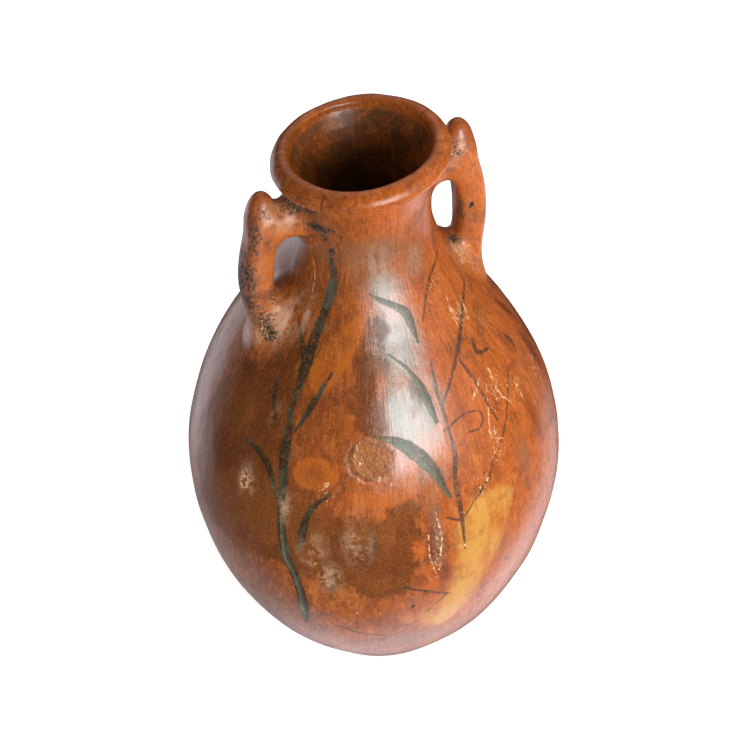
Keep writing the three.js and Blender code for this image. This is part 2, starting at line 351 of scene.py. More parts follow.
def pot_sections():
    """Each CAD wall node's name, its outer line and its inner line, both from the bottom up."""
    inner_seams = [seam - SEAM_DROP for seam in SEAMS]
    floor_edge = wall_point(SEAMS[0], WALL)[0] - COVE_WIDTH
    foot = [[2, 0], [OUTLINE[0][1] - 1.5, 0], [OUTLINE[0][1] - 0.4, 0.5]]
    base_out = fine_line([*foot, *wall_rows(1.5, SEAMS[0], 0, 2)], 2.2)
    floor = fine_line([[2, FLOOR], [floor_edge, FLOOR]], 4)
    cove = [[floor_edge, FLOOR], wall_point(14.0, WALL + 2.2)]
    low_in = fine_line([*cove, *wall_rows(FLOOR + COVE_HEIGHT, inner_seams[1], WALL, 5)], 5)
    yield "base_slab", base_out, floor
    yield "lower_wall", wall_rows(SEAMS[0], SEAMS[1], 0, 2.4), low_in
    for i, name in enumerate(("belly_wall", "shoulder_wall", "neck_collar"), start=1):
        outer = wall_rows(SEAMS[i], SEAMS[i + 1], 0, 2.3)
        yield name, outer, wall_rows(inner_seams[i], inner_seams[i + 1], WALL, 5)
    lip = lip_line()
    yield "rim_roll", lip[:-1], lip[-1:]


# ---- Meshes ----

def add_object(name, data):
    made = bpy.data.objects.new(name, data)
    bpy.context.scene.collection.objects.link(made)
    return made


def make_object(name, vertices, faces):
    mesh = bpy.data.meshes.new(name)
    mesh.from_pydata(vertices.tolist(), [], faces)
    mesh.update()
    return add_object(name, mesh)


def shade(mesh, normals, is_flat):
    """Smooth faces take the given vertex normals, and hidden seam faces stay flat."""
    corners = np.empty(len(mesh.loops), np.int32)
    mesh.loops.foreach_get("vertex_index", corners)
    wanted = normals[corners]
    for face in mesh.polygons:
        if is_flat[face.index]:
            face.use_smooth = False
            for k in face.loop_indices:
                wanted[k] = face.normal
    mesh.normals_split_custom_set(wanted.tolist())


def store(mesh, name, values):
    """Keeps three numbers for each vertex under a name that the materials read."""
    attribute = mesh.attributes.new(name, "FLOAT_VECTOR", "POINT")
    attribute.data.foreach_set("vector", np.ascontiguousarray(values, np.float32).ravel())


def grid_normals(grid):
    """Normals of a surface given as rows of points round the pot."""
    along = np.gradient(grid, axis=0)
    around = np.roll(grid, -1, axis=1) - np.roll(grid, 1, axis=1)
    return unit(np.cross(around, along))


def spun(line):
    """Rows round the pot, from a line of radius and height, or from such a line's directions."""
    return around_axis(line[:, :1], np.arange(AROUND) * 2 * math.pi / AROUND, line[:, 1:])


def pushed(line, amount):
    """The rows of a line, moved square to the surface by the potter's hands."""
    along = np.gradient(line, axis=0)
    rows, facing = spun(line), spun(unit(columns(along[:, 1], -along[:, 0])))
    return rows + facing * amount(rows.reshape(-1, 3)).reshape(*rows.shape[:2], 1)


def ring_faces(rows, has_poles):
    """Quads between rows of vertices. The last row joins the first, unless both ends close at poles."""
    faces = []
    for r in range(rows - 1 if has_poles else rows):
        for k in range(AROUND):
            below, above, beside = r * AROUND, ((r + 1) % rows) * AROUND, (k + 1) % AROUND
            faces.append((below + k, below + beside, above + beside, above + k))
    if has_poles:
        bottom, edge = rows * AROUND, (rows - 1) * AROUND
        for k in range(AROUND):
            beside = (k + 1) % AROUND
            faces += [(bottom, beside, k), (edge + k, edge + beside, bottom + 1)]
    return faces


def pot_piece(name, outer, inner):
    """One wall section as a closed body, from its outer and inner lines."""
    is_lip, is_base = name == "rim_roll", name == "base_slab"
    rows = np.concatenate([pushed(outer, lip_marks if is_lip else wall_marks), spun(inner)[::-1]])
    upright = rows.reshape(-1, 3)
    final = settle(upright)
    grid = final.reshape(rows.shape)
    smooth_runs = [grid] if is_lip else [grid[:len(outer)], grid[len(outer):]]
    normals = np.concatenate([grid_normals(run) for run in smooth_runs]).reshape(-1, 3)
    if is_base:
        poles = np.array([[0, 0, 0], [0, 0, FLOOR]])
        upright, final = np.concatenate([upright, poles]), np.concatenate([final, poles * MM])
        normals = np.concatenate([normals, [[0, 0, -1], [0, 0, 1]]])
    faces = ring_faces(len(rows), is_base)
    piece = make_object(name + "_clay", final, faces)
    is_flat = np.zeros(len(faces), bool)
    if not is_lip:
        is_flat[(len(outer) - 1) * AROUND:len(outer) * AROUND] = True
    if not is_base:
        is_flat[(len(rows) - 1) * AROUND:] = True
    shade(piece.data, normals, is_flat)
    paint(piece.data, upright)
    return piece


# ---- Handles, as blended fields ----

def rounded_square(a, b, half_a, half_b, power):
    size = (np.abs(a / half_a) ** power + np.abs(b / half_b) ** power) ** (1 / power)
    return (size - 1) * np.minimum(half_a, half_b)


def pot_field(points):
    """Distance outside the pot's outer face."""
    radius, height = np.hypot(points[:, 0], points[:, 1]), points[:, 2]
    return (radius - outside_radius(height)) / np.hypot(1, outside_slope(height)) - hand_marks(points)


def handle_field(handle, points):
    """Distance outside the handle on its own, in the frame of the +X side."""
    out, aside, up = points.T
    across, deep, wide = (curve_through(handle["strap"], up, column) for column in (1, 2, 3))
    strap = rounded_square(out - across, aside, deep, wide, 3)
    strap = np.maximum(smooth_cut(strap, up - STRAP_TOP, 9), STRAP_FOOT - up)
    level, distance, *halves = handle["knob"]
    knob = round_lump(out - distance, aside, up - level, halves)
    middle, tall, wide = (curve_through(handle["bridge"], out, column) for column in (1, 2, 3))
    bridge = rounded_square(aside, up - middle, wide, tall, 2.6)
    bridge = np.maximum(smooth_cut(bridge, out - BRIDGE_TO, 6), BRIDGE_FROM - out)
    lean = math.radians(LUTE_LEAN)
    from_wad, above_wad = out - outside_radius(LUTE_HEIGHT), up - LUTE_HEIGHT
    through = from_wad * math.cos(lean) + above_wad * math.sin(lean)
    along = -from_wad * math.sin(lean) + above_wad * math.cos(lean)
    wad = round_lump(through, aside, along, LUTE_HALVES)
    whole = smooth_union(smooth_union(strap, knob, 5), bridge, 6)
    return smooth_union(whole, wad, 9)


def joined_fields(handle, points):
    """The handle alone, the pot, and the two with their clay smoothed together."""
    side = handle["side"]
    alone, pot = handle_field(handle, points), pot_field(points * (side, side, 1))
    return alone, pot, smooth_union(alone, pot, POT_FILLET)


def trimmed_field(handle, points):
    """The handle with its fillet, cut off inside the wall and where the fillet thins out."""
    alone, pot, joined = joined_fields(handle, points)
    return np.maximum(np.maximum(joined + 0.04, -(pot + SUNK)), alone - HANDLE_EDGE)


def gradient_of(field, points, step=0.4):
    shifts = np.eye(3) * step
    return columns(*((field(points + shift) - field(points - shift)) / (2 * step) for shift in shifts))


def surface_net(values, origin, step):
    """Vertices and quads of the zero surface of a sampled field that is negative inside."""
    shape = np.array(values.shape) - 1

    def corner(i, j, k):
        return values[i:i + shape[0], j:j + shape[1], k:k + shape[2]]

    total = np.zeros((*shape, 3))
    crossings = np.zeros(shape)
    for a in np.ndindex(2, 2, 2):
        for axis in range(3):
            if a[axis] == 1:
                continue
            b = tuple(1 if n == axis else a[n] for n in range(3))
            at_a, at_b = corner(*a), corner(*b)
            crossed = (at_a < 0) != (at_b < 0)
            share = np.where(crossed, at_a / np.where(crossed, at_a - at_b, 1), 0)
            crossings += crossed
            for n in range(3):
                total[..., n] += crossed * (a[n] + (share if n == axis else 0))
    used = crossings > 0
    number = np.full(shape, -1)
    number[used] = np.arange(used.sum())
    vertices = (np.argwhere(used) + total[used] / crossings[used][:, None]) * step + origin
    faces = []
    for axis in range(3):
        first, second = [n for n in range(3) if n != axis]
        here = np.moveaxis(values, (axis, first, second), (0, 1, 2))
        cells = np.moveaxis(number, (axis, first, second), (0, 1, 2))
        low, high = here[:-1, 1:-1, 1:-1] < 0, here[1:, 1:-1, 1:-1] < 0
        for i, j, k in np.argwhere(low != high):
            quad = [cells[i, j, k], cells[i, j + 1, k], cells[i, j + 1, k + 1], cells[i, j, k + 1]]
            if low[i, j, k] == (axis == 1):
                quad.reverse()
            faces.append([int(n) for n in quad])
    return vertices, faces


def handle_shape(handle):
    """Upright vertices, faces and normals of one whole handle, turned to its own side."""
    low, high = np.array(HANDLE_BOX, float)
    counts = np.ceil((high - low) / CELL).astype(int) + 1
    lines = [start + CELL * np.arange(count) for start, count in zip(low, counts)]
    samples = np.stack(np.meshgrid(*lines, indexing="ij"), axis=-1).reshape(-1, 3)
    vertices, faces = surface_net(trimmed_field(handle, samples).reshape(counts), low, CELL)
    for _ in range(2):
        slope = gradient_of(lambda p: trimmed_field(handle, p), vertices, 0.2)
        steep = np.maximum((slope ** 2).sum(axis=1), 0.3)
        off = np.clip(trimmed_field(handle, vertices) / steep, -0.5, 0.5)
        vertices = vertices - slope * off[:, None]
    normals = unit(gradient_of(lambda p: joined_fields(handle, p)[2], vertices))
    turn = np.array([handle["side"], handle["side"], 1])
    return vertices * turn, faces, normals * turn


def handle_cuts(side):
    """For each part of a handle, the cuts that leave it, as points and the directions that they clear."""
    out, up = Vector((side, 0, 0)), Vector((0, 0, 1))
    foot_top, strap_top, bridge_end = up * LUTE_TOP, up * KNOB_BOTTOM, out * BRIDGE_END
    return {
        "lute": [(foot_top, up)],
        "strap": [(foot_top, -up), (strap_top, up), (bridge_end, -out)],
        "knob": [(strap_top, -up), (bridge_end, -out)],
        "bridge": [(foot_top, -up), (bridge_end, out)],
    }


def cut_mesh(bm, cuts):
    """Cuts a closed mesh by planes and closes it again with flat faces."""
    for point, away in cuts:
        whole = bm.verts[:] + bm.edges[:] + bm.faces[:]
        bmesh.ops.bisect_plane(bm, geom=whole, dist=1e-5, plane_co=point, plane_no=away, clear_outer=True)
        open_edges = [edge for edge in bm.edges if edge.is_boundary]
        for face in bmesh.ops.holes_fill(bm, edges=open_edges, sides=0)["faces"]:
            face.smooth = False
    loose = [v for v in bm.verts if not v.link_faces]
    bmesh.ops.delete(bm, geom=loose, context="VERTS")


def cut_part(name, shape, cuts):
    """The closed part of a handle between cuts, leaned with the neck and painted."""
    vertices, faces, normals = shape
    bm = bmesh.new()
    facing = [bm.verts.layers.float.new(axis) for axis in ("nx", "ny", "nz")]
    made = []
    for position, normal in zip(vertices, normals):
        vertex = bm.verts.new(position)
        for layer, value in zip(facing, normal):
            vertex[layer] = value
        made.append(vertex)
    for face in faces:
        bm.faces.new([made[n] for n in face]).smooth = True
    cut_mesh(bm, cuts)
    upright = np.array([v.co for v in bm.verts])
    up_normals = unit(np.array([[v[layer] for layer in facing] for v in bm.verts]))
    mesh = bpy.data.meshes.new(name)
    bm.to_mesh(mesh)
    bm.free()
    mesh.vertices.foreach_set("co", settle(upright).ravel())
    mesh.update()
    flat = np.array([not face.use_smooth for face in mesh.polygons])
    shade(mesh, settle_normals(upright, up_normals), flat)
    for layer in ("nx", "ny", "nz"):
        mesh.attributes.remove(mesh.attributes[layer])
    paint(mesh, upright)
    return add_object(name, mesh)


# ---- Scar of the lost boss ----

def scar_relief(across, up):
    """Height of the broken stump and the groove round it, at places on the patch."""
    distance, angle = np.hypot(across, up), np.arctan2(up, across)
    places = columns(across, up, 0)
    edge = BOSS_RADIUS - 1.5 + 1.5 * soft_noise(places, 8, 23) + 0.7 * soft_noise(places, 3, 27)
    stump = 1 - smooth_step(distance, edge - 4, edge)
    broken = layered_noise(places, BROKEN_CLAY)
    deeper = 0.6 + 0.5 * np.cos(angle - math.radians(215))
    groove = np.exp(-((distance - edge - 0.4) / 1.3) ** 2) * (0.3 + 0.7 * deeper)
    raised_rim = 0.15 * np.exp(-((distance - edge + 2.6) / 1.5) ** 2)
    return stump * broken + raised_rim - 0.35 * groove


def pot_slope(points):
    return unit(gradient_of(pot_field, points))


def disc_faces(rings, spokes):
    """Faces of a disc of vertices: a middle one, then ring after ring."""
    faces = []
    for r in range(rings):
        for k in range(spokes):
            beside = (k + 1) % spokes
            outer, outer_beside = 1 + r * spokes + k, 1 + r * spokes + beside
            if r == 0:
                faces.append((0, outer, outer_beside))
            else:
                faces.append((outer - spokes, outer, outer_beside, outer_beside - spokes))
    return faces


def gathered_normals(mesh, face_count, vertex_count):
    """Vertex normals from the first faces of a mesh, weighted by area."""
    gathered = np.zeros((vertex_count, 3))
    for face in mesh.polygons[:face_count]:
        for n in face.vertices:
            gathered[n] += np.array(face.normal) * face.area
    return unit(gathered)


def boss_patch():
    """A round patch of wall with the scar in it."""
    facing = pot_slope(BOSS_CENTRE[None])[0]
    sideways = unit(np.array([-BOSS_CENTRE[1], BOSS_CENTRE[0], 0]))
    upwards = np.cross(facing, sideways)
    angles = np.arange(PATCH_SPOKES) * 2 * math.pi / PATCH_SPOKES
    radii = PATCH_RADIUS * np.linspace(0, 1, PATCH_RINGS + 1)[1:]
    across = np.concatenate([[0], np.outer(radii, np.cos(angles)).ravel()])
    up = np.concatenate([[0], np.outer(radii, np.sin(angles)).ravel()])
    distance = np.hypot(across, up)
    base = BOSS_CENTRE + across[:, None] * sideways + up[:, None] * upwards
    for _ in range(4):
        onto_wall = pot_field(base)[:, None] / np.maximum(pot_slope(base) @ facing, 0.5)[:, None]
        base = base - facing * onto_wall
    normals = pot_slope(base)
    proud = 0.03 - 0.35 * smooth_step(distance, PATCH_RADIUS - 1.2, PATCH_RADIUS)
    fade = 1 - smooth_step(distance, RECESS_EDGE - 1.5, RECESS_EDGE + 1)
    top = base + normals * (proud + fade * scar_relief(across, up))[:, None]
    count = len(top)
    vertices = np.concatenate([top, base - normals * PATCH_THICKNESS])
    faces = disc_faces(PATCH_RINGS, PATCH_SPOKES)
    undersides = [tuple(count + n for n in reversed(face)) for face in faces]
    edge = [*range(count - PATCH_SPOKES, count)]
    band = [(here, count + here, count + beside, beside) for here, beside in zip(edge, edge[1:] + edge[:1])]
    piece = make_object("boss_scar", settle(vertices), faces + undersides + band)
    is_flat = np.arange(len(piece.data.polygons)) >= len(faces)
    scarred = gathered_normals(piece.data, len(faces), len(vertices))
    share = smooth_step(distance, RECESS_EDGE - 1, RECESS_EDGE + 1)[:, None]
    scarred[:count] = unit(scarred[:count] * (1 - share) + normals * share)
    shade(piece.data, scarred, is_flat)
    paint(piece.data, np.concatenate([base, base]))
    return piece


# ---- Painting: where the potter's brush and time left their marks ----

# Brush strokes as [azimuth, height, half width] in degrees and millimetres, in groups of one paint each.
STEM = [
    [[-141, 349, 1.6], [-138, 340, 2.8], [-139, 330, 3.0], [-142, 316, 2.4], [-144, 301, 2.6],
     [-144.5, 290, 3.0], [-144.5, 280, 1.7], [-145, 268, 1.4], [-144, 257, 2.4], [-144, 246, 3.1],
     [-143, 232, 3.0], [-142.5, 217, 2.8], [-142, 205, 2.8], [-141, 190, 3.2], [-140, 176, 3.4],
     [-137.5, 162, 3.3], [-136, 143, 3.2], [-136, 124, 3.6], [-137, 106, 0.8]],
]
LEAVES = [
    [[-156, 306, 0.8], [-151, 300, 1.4], [-147, 294, 1.8]],
    [[-156, 278, 0.6], [-154, 270, 1.5], [-150, 258, 0.5]],
    [[-161, 242, 0.4], [-156, 240, 1.6], [-150, 235, 2.2], [-147, 228, 1.8], [-145, 219, 0.8]],
    [[-131, 289, 0.6], [-135, 279, 1.4], [-138, 269, 1.5], [-141, 260, 0.7]],
    [[-127, 227, 0.7], [-132, 217, 1.5], [-134, 207, 2.2], [-135, 196, 2.9], [-136, 184, 0.6]],
]
TEAL_LEAVES = [
    [[-107, 330, 0.7], [-100, 326, 1.5], [-93, 322, 1.9], [-88, 318, 2.3], [-86, 312, 2.3], [-85, 302, 0.7]],
    [[-101, 298, 0.4], [-95, 292, 0.8], [-91, 284, 1.4], [-89.5, 276, 2.3], [-88, 264, 1.3]],
    [[-111, 261, 1.0], [-104, 258, 2.6], [-99, 252, 3.8], [-95, 244, 4.0], [-92, 235, 2.8], [-89, 220, 1.2]],
    [[-142, 206, 0.5], [-141, 190, 1.7], [-140, 176, 2.0], [-137.5, 162, 1.3], [-136, 143, 1.9],
     [-136, 124, 2.9], [-136.8, 109, 0.7]],
]
THIN_STEMS = [
    [[-43, 333, 0.7], [-59, 328, 0.9], [-69, 321, 0.9], [-77, 311, 0.5]],
    [[-31, 306, 0.7], [-43, 303, 0.9], [-56, 296, 1.1], [-67, 288, 1.1], [-77, 278, 0.8],
     [-84, 269, 0.6]],
    [[-82, 289, 0.5], [-84, 277, 0.8], [-84, 257, 0.9], [-84, 243, 1.3], [-86, 228, 1.6], [-86, 210, 1.5],
     [-86, 196, 1.2], [-86, 180, 0.6]],
]
TWIGS = [
    [[-90, 205, 0.8], [-86, 201, 0.8], [-82, 208, 0.6], [-74, 220, 0.8], [-71, 227, 0.5]],
    [[-68, 285, 0.6], [-66, 272, 0.9], [-65, 256, 0.6], [-64, 247, 0.8]],
    [[-85, 257, 0.7], [-78, 260, 0.6], [-72, 259, 0.5], [-69, 254, 0.5], [-72, 249, 0.6], [-76, 250, 0.6]],
    [[-49, 260, 0.5], [-55, 251, 0.7], [-61, 241, 0.7], [-67, 232, 0.5]],
    [[-104, 157, 1.1], [-98, 150, 1.0], [-91, 141, 0.8]],
    [[-93, 138, 0.7], [-97, 127, 0.7]],
    [[-127, 113, 0.8], [-122, 108, 1.0], [-116, 103, 1.1], [-108, 98, 0.8]],
    [[-36, 271, 0.9], [-35, 266, 1.5], [-36, 262, 0.8]],
    [[-56, 286, 0.9], [-57, 281, 1.2], [-50, 278, 0.5]],
]
BACK_STEMS = [
    [[68, 318, 1.4], [72, 286, 2.2], [66, 246, 2.4], [71, 204, 2.6], [64, 160, 2.8], [67, 126, 1.0]],
    [[104, 300, 0.8], [112, 268, 1.2], [106, 226, 1.0], [111, 190, 0.6]],
]
BACK_LEAVES = [
    [[72, 262, 0.6], [79, 246, 2.2], [82, 230, 0.5]],
    [[66, 228, 0.6], [57, 212, 2.4], [54, 194, 0.5]],
    [[29, 250, 0.5], [35, 232, 2.0], [38, 212, 0.6]],
]

# Pale scratches through the slip, as brush strokes.
SCRATCHES = [
    [[-55, 310, 0.5], [-57, 305, 0.9], [-58, 298, 0.4]],
    [[-44, 304, 0.4], [-47, 299, 0.8], [-49, 294, 0.3]],
    [[-57, 273, 0.4], [-58, 258, 0.7], [-55, 248, 0.4]],
    [[-65, 270, 0.8], [-68, 267, 0.9], [-70, 265, 0.5]],
    [[-66, 254, 0.4], [-69, 241, 0.9], [-64, 234, 0.5]],
    [[-47, 254, 0.4], [-48, 247, 0.6], [-48, 240, 0.3]],
    [[-94, 210, 0.4], [-93, 195, 0.6], [-94, 177, 0.5]],
    [[-97, 196, 0.4], [-97, 180, 0.5], [-95, 162, 0.4]],
    [[-160, 346, 0.4], [-155, 338, 0.7], [-154, 329, 0.5]],
]

# Cracks across the lip as azimuth, radius, height, reach and half width.
LIP_CRACKS = [(165, 51, 399, 5, 0.35), (-138, 50, 398, 5, 0.4), (9, 47, 403, 6, 0.3)]

# Patches as corners in azimuth and height.
OCHRE = [
    [(-88, 196), (-82, 209), (-72, 211), (-67, 200), (-70, 184), (-73, 168), (-77, 154), (-81, 133),
     (-86, 110), (-92, 100), (-99, 112), (-98, 128), (-91, 144), (-89, 170)],
]
ORANGE = [
    [(-113, 321), (-122, 317), (-132, 309), (-139, 300), (-142, 289), (-136, 278), (-128, 285), (-121, 298),
     (-116, 309)],
    [(-140, 236), (-138, 244), (-132, 248), (-127, 245), (-124, 238), (-129, 229), (-136, 229)],
    [(-99, 246), (-97, 238), (-99, 228), (-106, 221), (-115, 221), (-122, 228), (-115, 231), (-106, 232),
     (-102, 239)],
]
BROWN = [
    [(-99, 222), (-100, 196), (-102, 172), (-105, 155), (-114, 151), (-122, 157), (-136, 167), (-146, 168),
     (-160, 163), (-174, 174), (-186, 192), (-188, 240), (-178, 268), (-160, 285), (-147, 296), (-145, 262),
     (-141, 224), (-134, 216), (-124, 212), (-112, 218)],
    [(-102, 320), (-106, 300), (-108, 279), (-107, 262), (-117, 264), (-121, 286), (-112, 314)],
    [(-94, 284), (-92, 277), (-93, 268), (-96, 270), (-97, 278)],
]

# Worn, dirty and discoloured places, and places of painted shade, as (azimuth, height, reach around, reach
# along, strength).
SCUFFS = [
    (-168, 303, 14, 20, 0.8), (-158, 314, 12, 18, 1.0), (-156, 218, 8, 14, 0.8), (-141, 212, 5, 14, 0.8),
    (-127, 165, 11, 16, 0.9), (-118, 196, 10, 20, 0.9), (-132, 182, 10, 18, 0.6), (-104, 348, 18, 18, 0.3),
    (-74, 343, 14, 12, 0.4), (-150, 262, 8, 10, 0.3), (-94, 190, 5, 26, 0.3), (-130, 190, 8, 12, 0.7),
]
CHIPS = [
    (-117, 247, 12, 15, 0.7), (-52, 300, 12, 18, 0.9), (-60, 262, 16, 22, 0.8), (-68, 232, 12, 14, 0.8),
    (-50, 250, 16, 24, 0.7), (-86, 182, 10, 10, 0.7), (-30, 240, 14, 34, 0.75), (-58, 320, 14, 14, 0.7),
    (-128, 228, 7, 8, 0.8), (-104, 160, 12, 8, 0.6), (-92, 330, 12, 14, 0.5), (-78, 215, 10, 16, 0.8),
    (-156, 216, 5, 10, 0.8), (-129, 166, 8, 8, 0.8), (-40, 285, 12, 24, 0.7), (-94, 186, 6, 28, 0.95),
    (-66, 200, 14, 26, 0.5), (-75, 220, 2.4, 3, 1.7), (-86, 180, 2.4, 3.5, 1.7), (-128, 233, 2.4, 3, 1.8),
    (-111, 166, 3, 1.8, 2), (-119, 132, 1.8, 1.6, 1.8), (-112, 131, 2.4, 1.6, 1.8),
    (-131, 175, 2.2, 2.2, 1.6), (-57, 303, 3, 7, 1.3), (-67, 242, 3, 6, 1.3), (-106, 235, 8, 4, 1.1),
    (-118, 256, 4, 4, 1.2), (-117, 248, 5, 6, 1.1), (-111, 238, 7, 2.5, 1.3),
]
# Dark stains; the spots on the neck under the lip, from 357 to 386 high, are painted shade.
STAINS_AND_SHADE = [
    (-36, 262, 20, 40, 0.35), (-58, 205, 10, 30, 0.3), (-98, 350, 12, 8, 0.3), (-151, 373, 10, 6, 1.3),
    (-166, 362, 5, 4, 1.0), (-78, 352, 12, 10, 0.3), (-155, 386, 14, 6, 1.0), (-102, 136, 2.4, 2.4, 1.5),
    (-141, 357, 4, 12, 0.9), (-60, 366, 8, 12, 0.4), (-146, 366, 5, 8, 0.9), (-142, 373, 7, 4, 1.1),
]
AGED = [
    (-95, 188, 7, 28, 1.2), (-93, 164, 5, 16, 1.0), (-100, 162, 6, 7, 1.0), (-108, 156, 10, 5, 1.0),
    (-20, 271, 5, 22, 1.2), (-24, 245, 6, 30, 1.2), (-34, 215, 6, 28, 1.1), (-62, 345, 28, 28, 0.35),
    (-12, 250, 14, 50, 0.8), (-47, 232, 5, 24, 0.5), (-134, 276, 9, 26, 0.45), (-132, 238, 8, 16, 0.4),
    (-142, 224, 8, 18, 0.4), (-40, 268, 4, 30, 0.6), (-58, 240, 3, 30, 0.3), (-165, 262, 12, 30, 0.4),
    (-77, 262, 4, 22, 0.3), (-112, 118, 24, 14, 0.4), (-150, 152, 14, 12, 0.5), (20, 200, 20, 60, 0.5),
]
FADED = [
    (-116, 196, 12, 24, 0.8), (-126, 160, 8, 9, 0.9), (-95, 214, 4, 14, 0.5), (-103, 355, 22, 14, 0.7),
    (-72, 342, 12, 12, 0.7), (-152, 353, 8, 8, 0.4), (-98, 300, 20, 40, 1.2), (-101, 334, 14, 16, 1.1),
    (-97, 272, 22, 34, 1.3), (-95, 240, 8, 18, 0.5), (-58, 215, 8, 18, 0.5), (-100, 86, 40, 16, 0.5),
    (-72, 160, 9, 26, 0.3), (-150, 110, 26, 20, 0.4),
]
CRUSTED = [
    (-157, 217, 5, 10, 1.0), (-141, 212, 3, 5, 0.5), (-127, 160, 4, 5, 0.6),
]

# The same on the handles: side, distance out, distance aside, height, reach across, reach along, strength.
HANDLE_DUST = [
    (-1, 50, 4, 380, 14, 12, 1.0), (-1, 68, 9, 292, 8, 9, 0.9), (1, 52, -6, 380, 9, 12, 0.8),
    (1, 51, -10, 312, 12, 10, 1.0), (-1, 62, 16, 296, 7, 12, 0.7), (1, 60, -10, 300, 10, 8, 0.5),
]
HANDLE_CHIPS = [
    (-1, 71, 10, 298, 7, 12, 1.05), (-1, 72, 9, 330, 8, 16, 0.3), (-1, 62, 9, 388, 6, 5, 0.5),
    (1, 54, -8, 384, 7, 10, 0.7), (1, 58, -11, 307, 14, 13, 0.9), (-1, 48, 6, 382, 10, 5, 0.6),
]
# Stains; the spots on the left strap's outer face and beside the neck under the lip are painted shade.
HANDLE_STAINS_AND_SHADE = [
    (-1, 78, 9, 345, 9, 26, 1.0), (-1, 77, 9, 322, 9, 22, 1.0), (-1, 73, 9, 372, 8, 20, 1.0),
    (-1, 64, 9, 386, 8, 8, 0.7), (-1, 46, 11, 384, 14, 7, 1.0), (-1, 46, 11, 356, 8, 5, 0.9),
    (-1, 70, 9, 306, 11, 14, 0.95), (-1, 61, 9, 326, 4, 20, 0.8), (-1, 80, 0, 338, 14, 56, 0.8),
    (1, 53, -9, 382, 8, 12, 0.8), (1, 57, -6, 338, 6, 18, 0.9), (1, 52, -6, 318, 9, 6, 1.0),
    (1, 62, -9, 301, 8, 9, 0.7), (1, 65, -10, 341, 2.6, 2.6, 1.5), (-1, 66, 12, 297, 7, 9, 1.3),
]
# Aged red; the spots on the left strap's outer face are painted shade.
HANDLE_AGED_AND_SHADE = [
    (1, 60, 0, 390, 16, 22, 0.6), (-1, 62, -2, 392, 16, 9, 0.4), (-1, 79, 2, 342, 10, 38, 1.1),
    (-1, 72, 4, 380, 8, 14, 0.8),
]

# What the materials read by name: groups of strokes, and threes of kinds of spots on wall and handles.
STROKES = {
    "stem": STEM + BACK_STEMS, "leaf": LEAVES + BACK_LEAVES, "teal": TEAL_LEAVES, "thin": THIN_STEMS,
    "twig": TWIGS, "scratch": SCRATCHES,
}
SPOTS = {
    "worn_and_shaded": ((SCUFFS, HANDLE_DUST), (CHIPS, HANDLE_CHIPS), (STAINS_AND_SHADE, HANDLE_STAINS_AND_SHADE)),
    "tone": ((AGED, HANDLE_AGED_AND_SHADE), (FADED, []), (CRUSTED, [])),
}
FAR = 30.0                         # stands for any distance too great to matter
PATCH_FADE = 25.0
WALL_SLANT = 1.15                  # length up the slanting wall for each millimetre of height
# Azimuth that the slip's painted light faces; away from it the slip is painted darker, as painted shade.
PAINTED_LIGHT_AZIMUTH = -45
SMALL_SPOT = 4                     # spots that reach less far around stay that thin in depth too
SPOT_DEPTH = 12


def surface_curve(stroke, step=2.5):
    """A stroke's points on the pot, close together, with the half width in the last column."""
    table = np.array(stroke, float)
    azimuth, height, half = smooth_rows(table, np.linspace(0, len(table) - 1, 12 * len(table))).T
    points = on_pot(azimuth, height)
    length = length_along(points)
    return evenly(columns(*points.T, half), length, max(3, round(length[-1] / step)))


def crack_field(points):
    """Like brush_field, for the cracks that run across the lip."""
    field = np.tile([FAR, FAR, 1.0], (len(points), 1))
    for azimuth, radius, height, reach, half in LIP_CRACKS:
        angle = math.radians(azimuth)
        offset = points - around_axis(radius, angle, height)
        distance = np.linalg.norm(offset, axis=1)
        sideways = offset @ np.array([-math.sin(angle), math.cos(angle), 0])
        near = distance < reach + 6
        field[near] = columns(sideways, np.maximum(distance - reach, 0) + half, half)[near]
    return field * MM


def brush_field(points, normals, strokes):
    """For each point: signed distance across the nearest stroke, distance away, and its half width."""
    best = np.full(len(points), FAR)
    across = np.full(len(points), FAR)
    width = np.ones(len(points))
    for line in map(surface_curve, strokes):
        low, high = line[:, :3].min(axis=0) - 12, line[:, :3].max(axis=0) + 12
        near = np.flatnonzero(np.all((points > low) & (points < high), axis=1))
        for start, end in zip(line[:-1], line[1:]):
            run = end[:3] - start[:3]
            offset = points[near] - start[:3]
            t = np.clip(offset @ run / (run @ run), 0, 1)
            miss = offset - t[:, None] * run
            away = np.linalg.norm(miss, axis=1)
            closer = away < best[near]
            chosen = near[closer]
            side = np.sum(np.cross(run, normals[chosen]) * miss[closer], axis=1)
            best[chosen] = away[closer]
            across[chosen] = side / np.linalg.norm(run)
            width[chosen] = start[3] + t[closer] * (end[3] - start[3])
    return columns(across, best, width) * MM


def closed_curve(corners, between=6):
    """A smooth ring through the corners."""
    count = len(corners)
    return smooth_rows(np.array(corners * 3, float), np.arange(count, 2 * count, 1 / between))


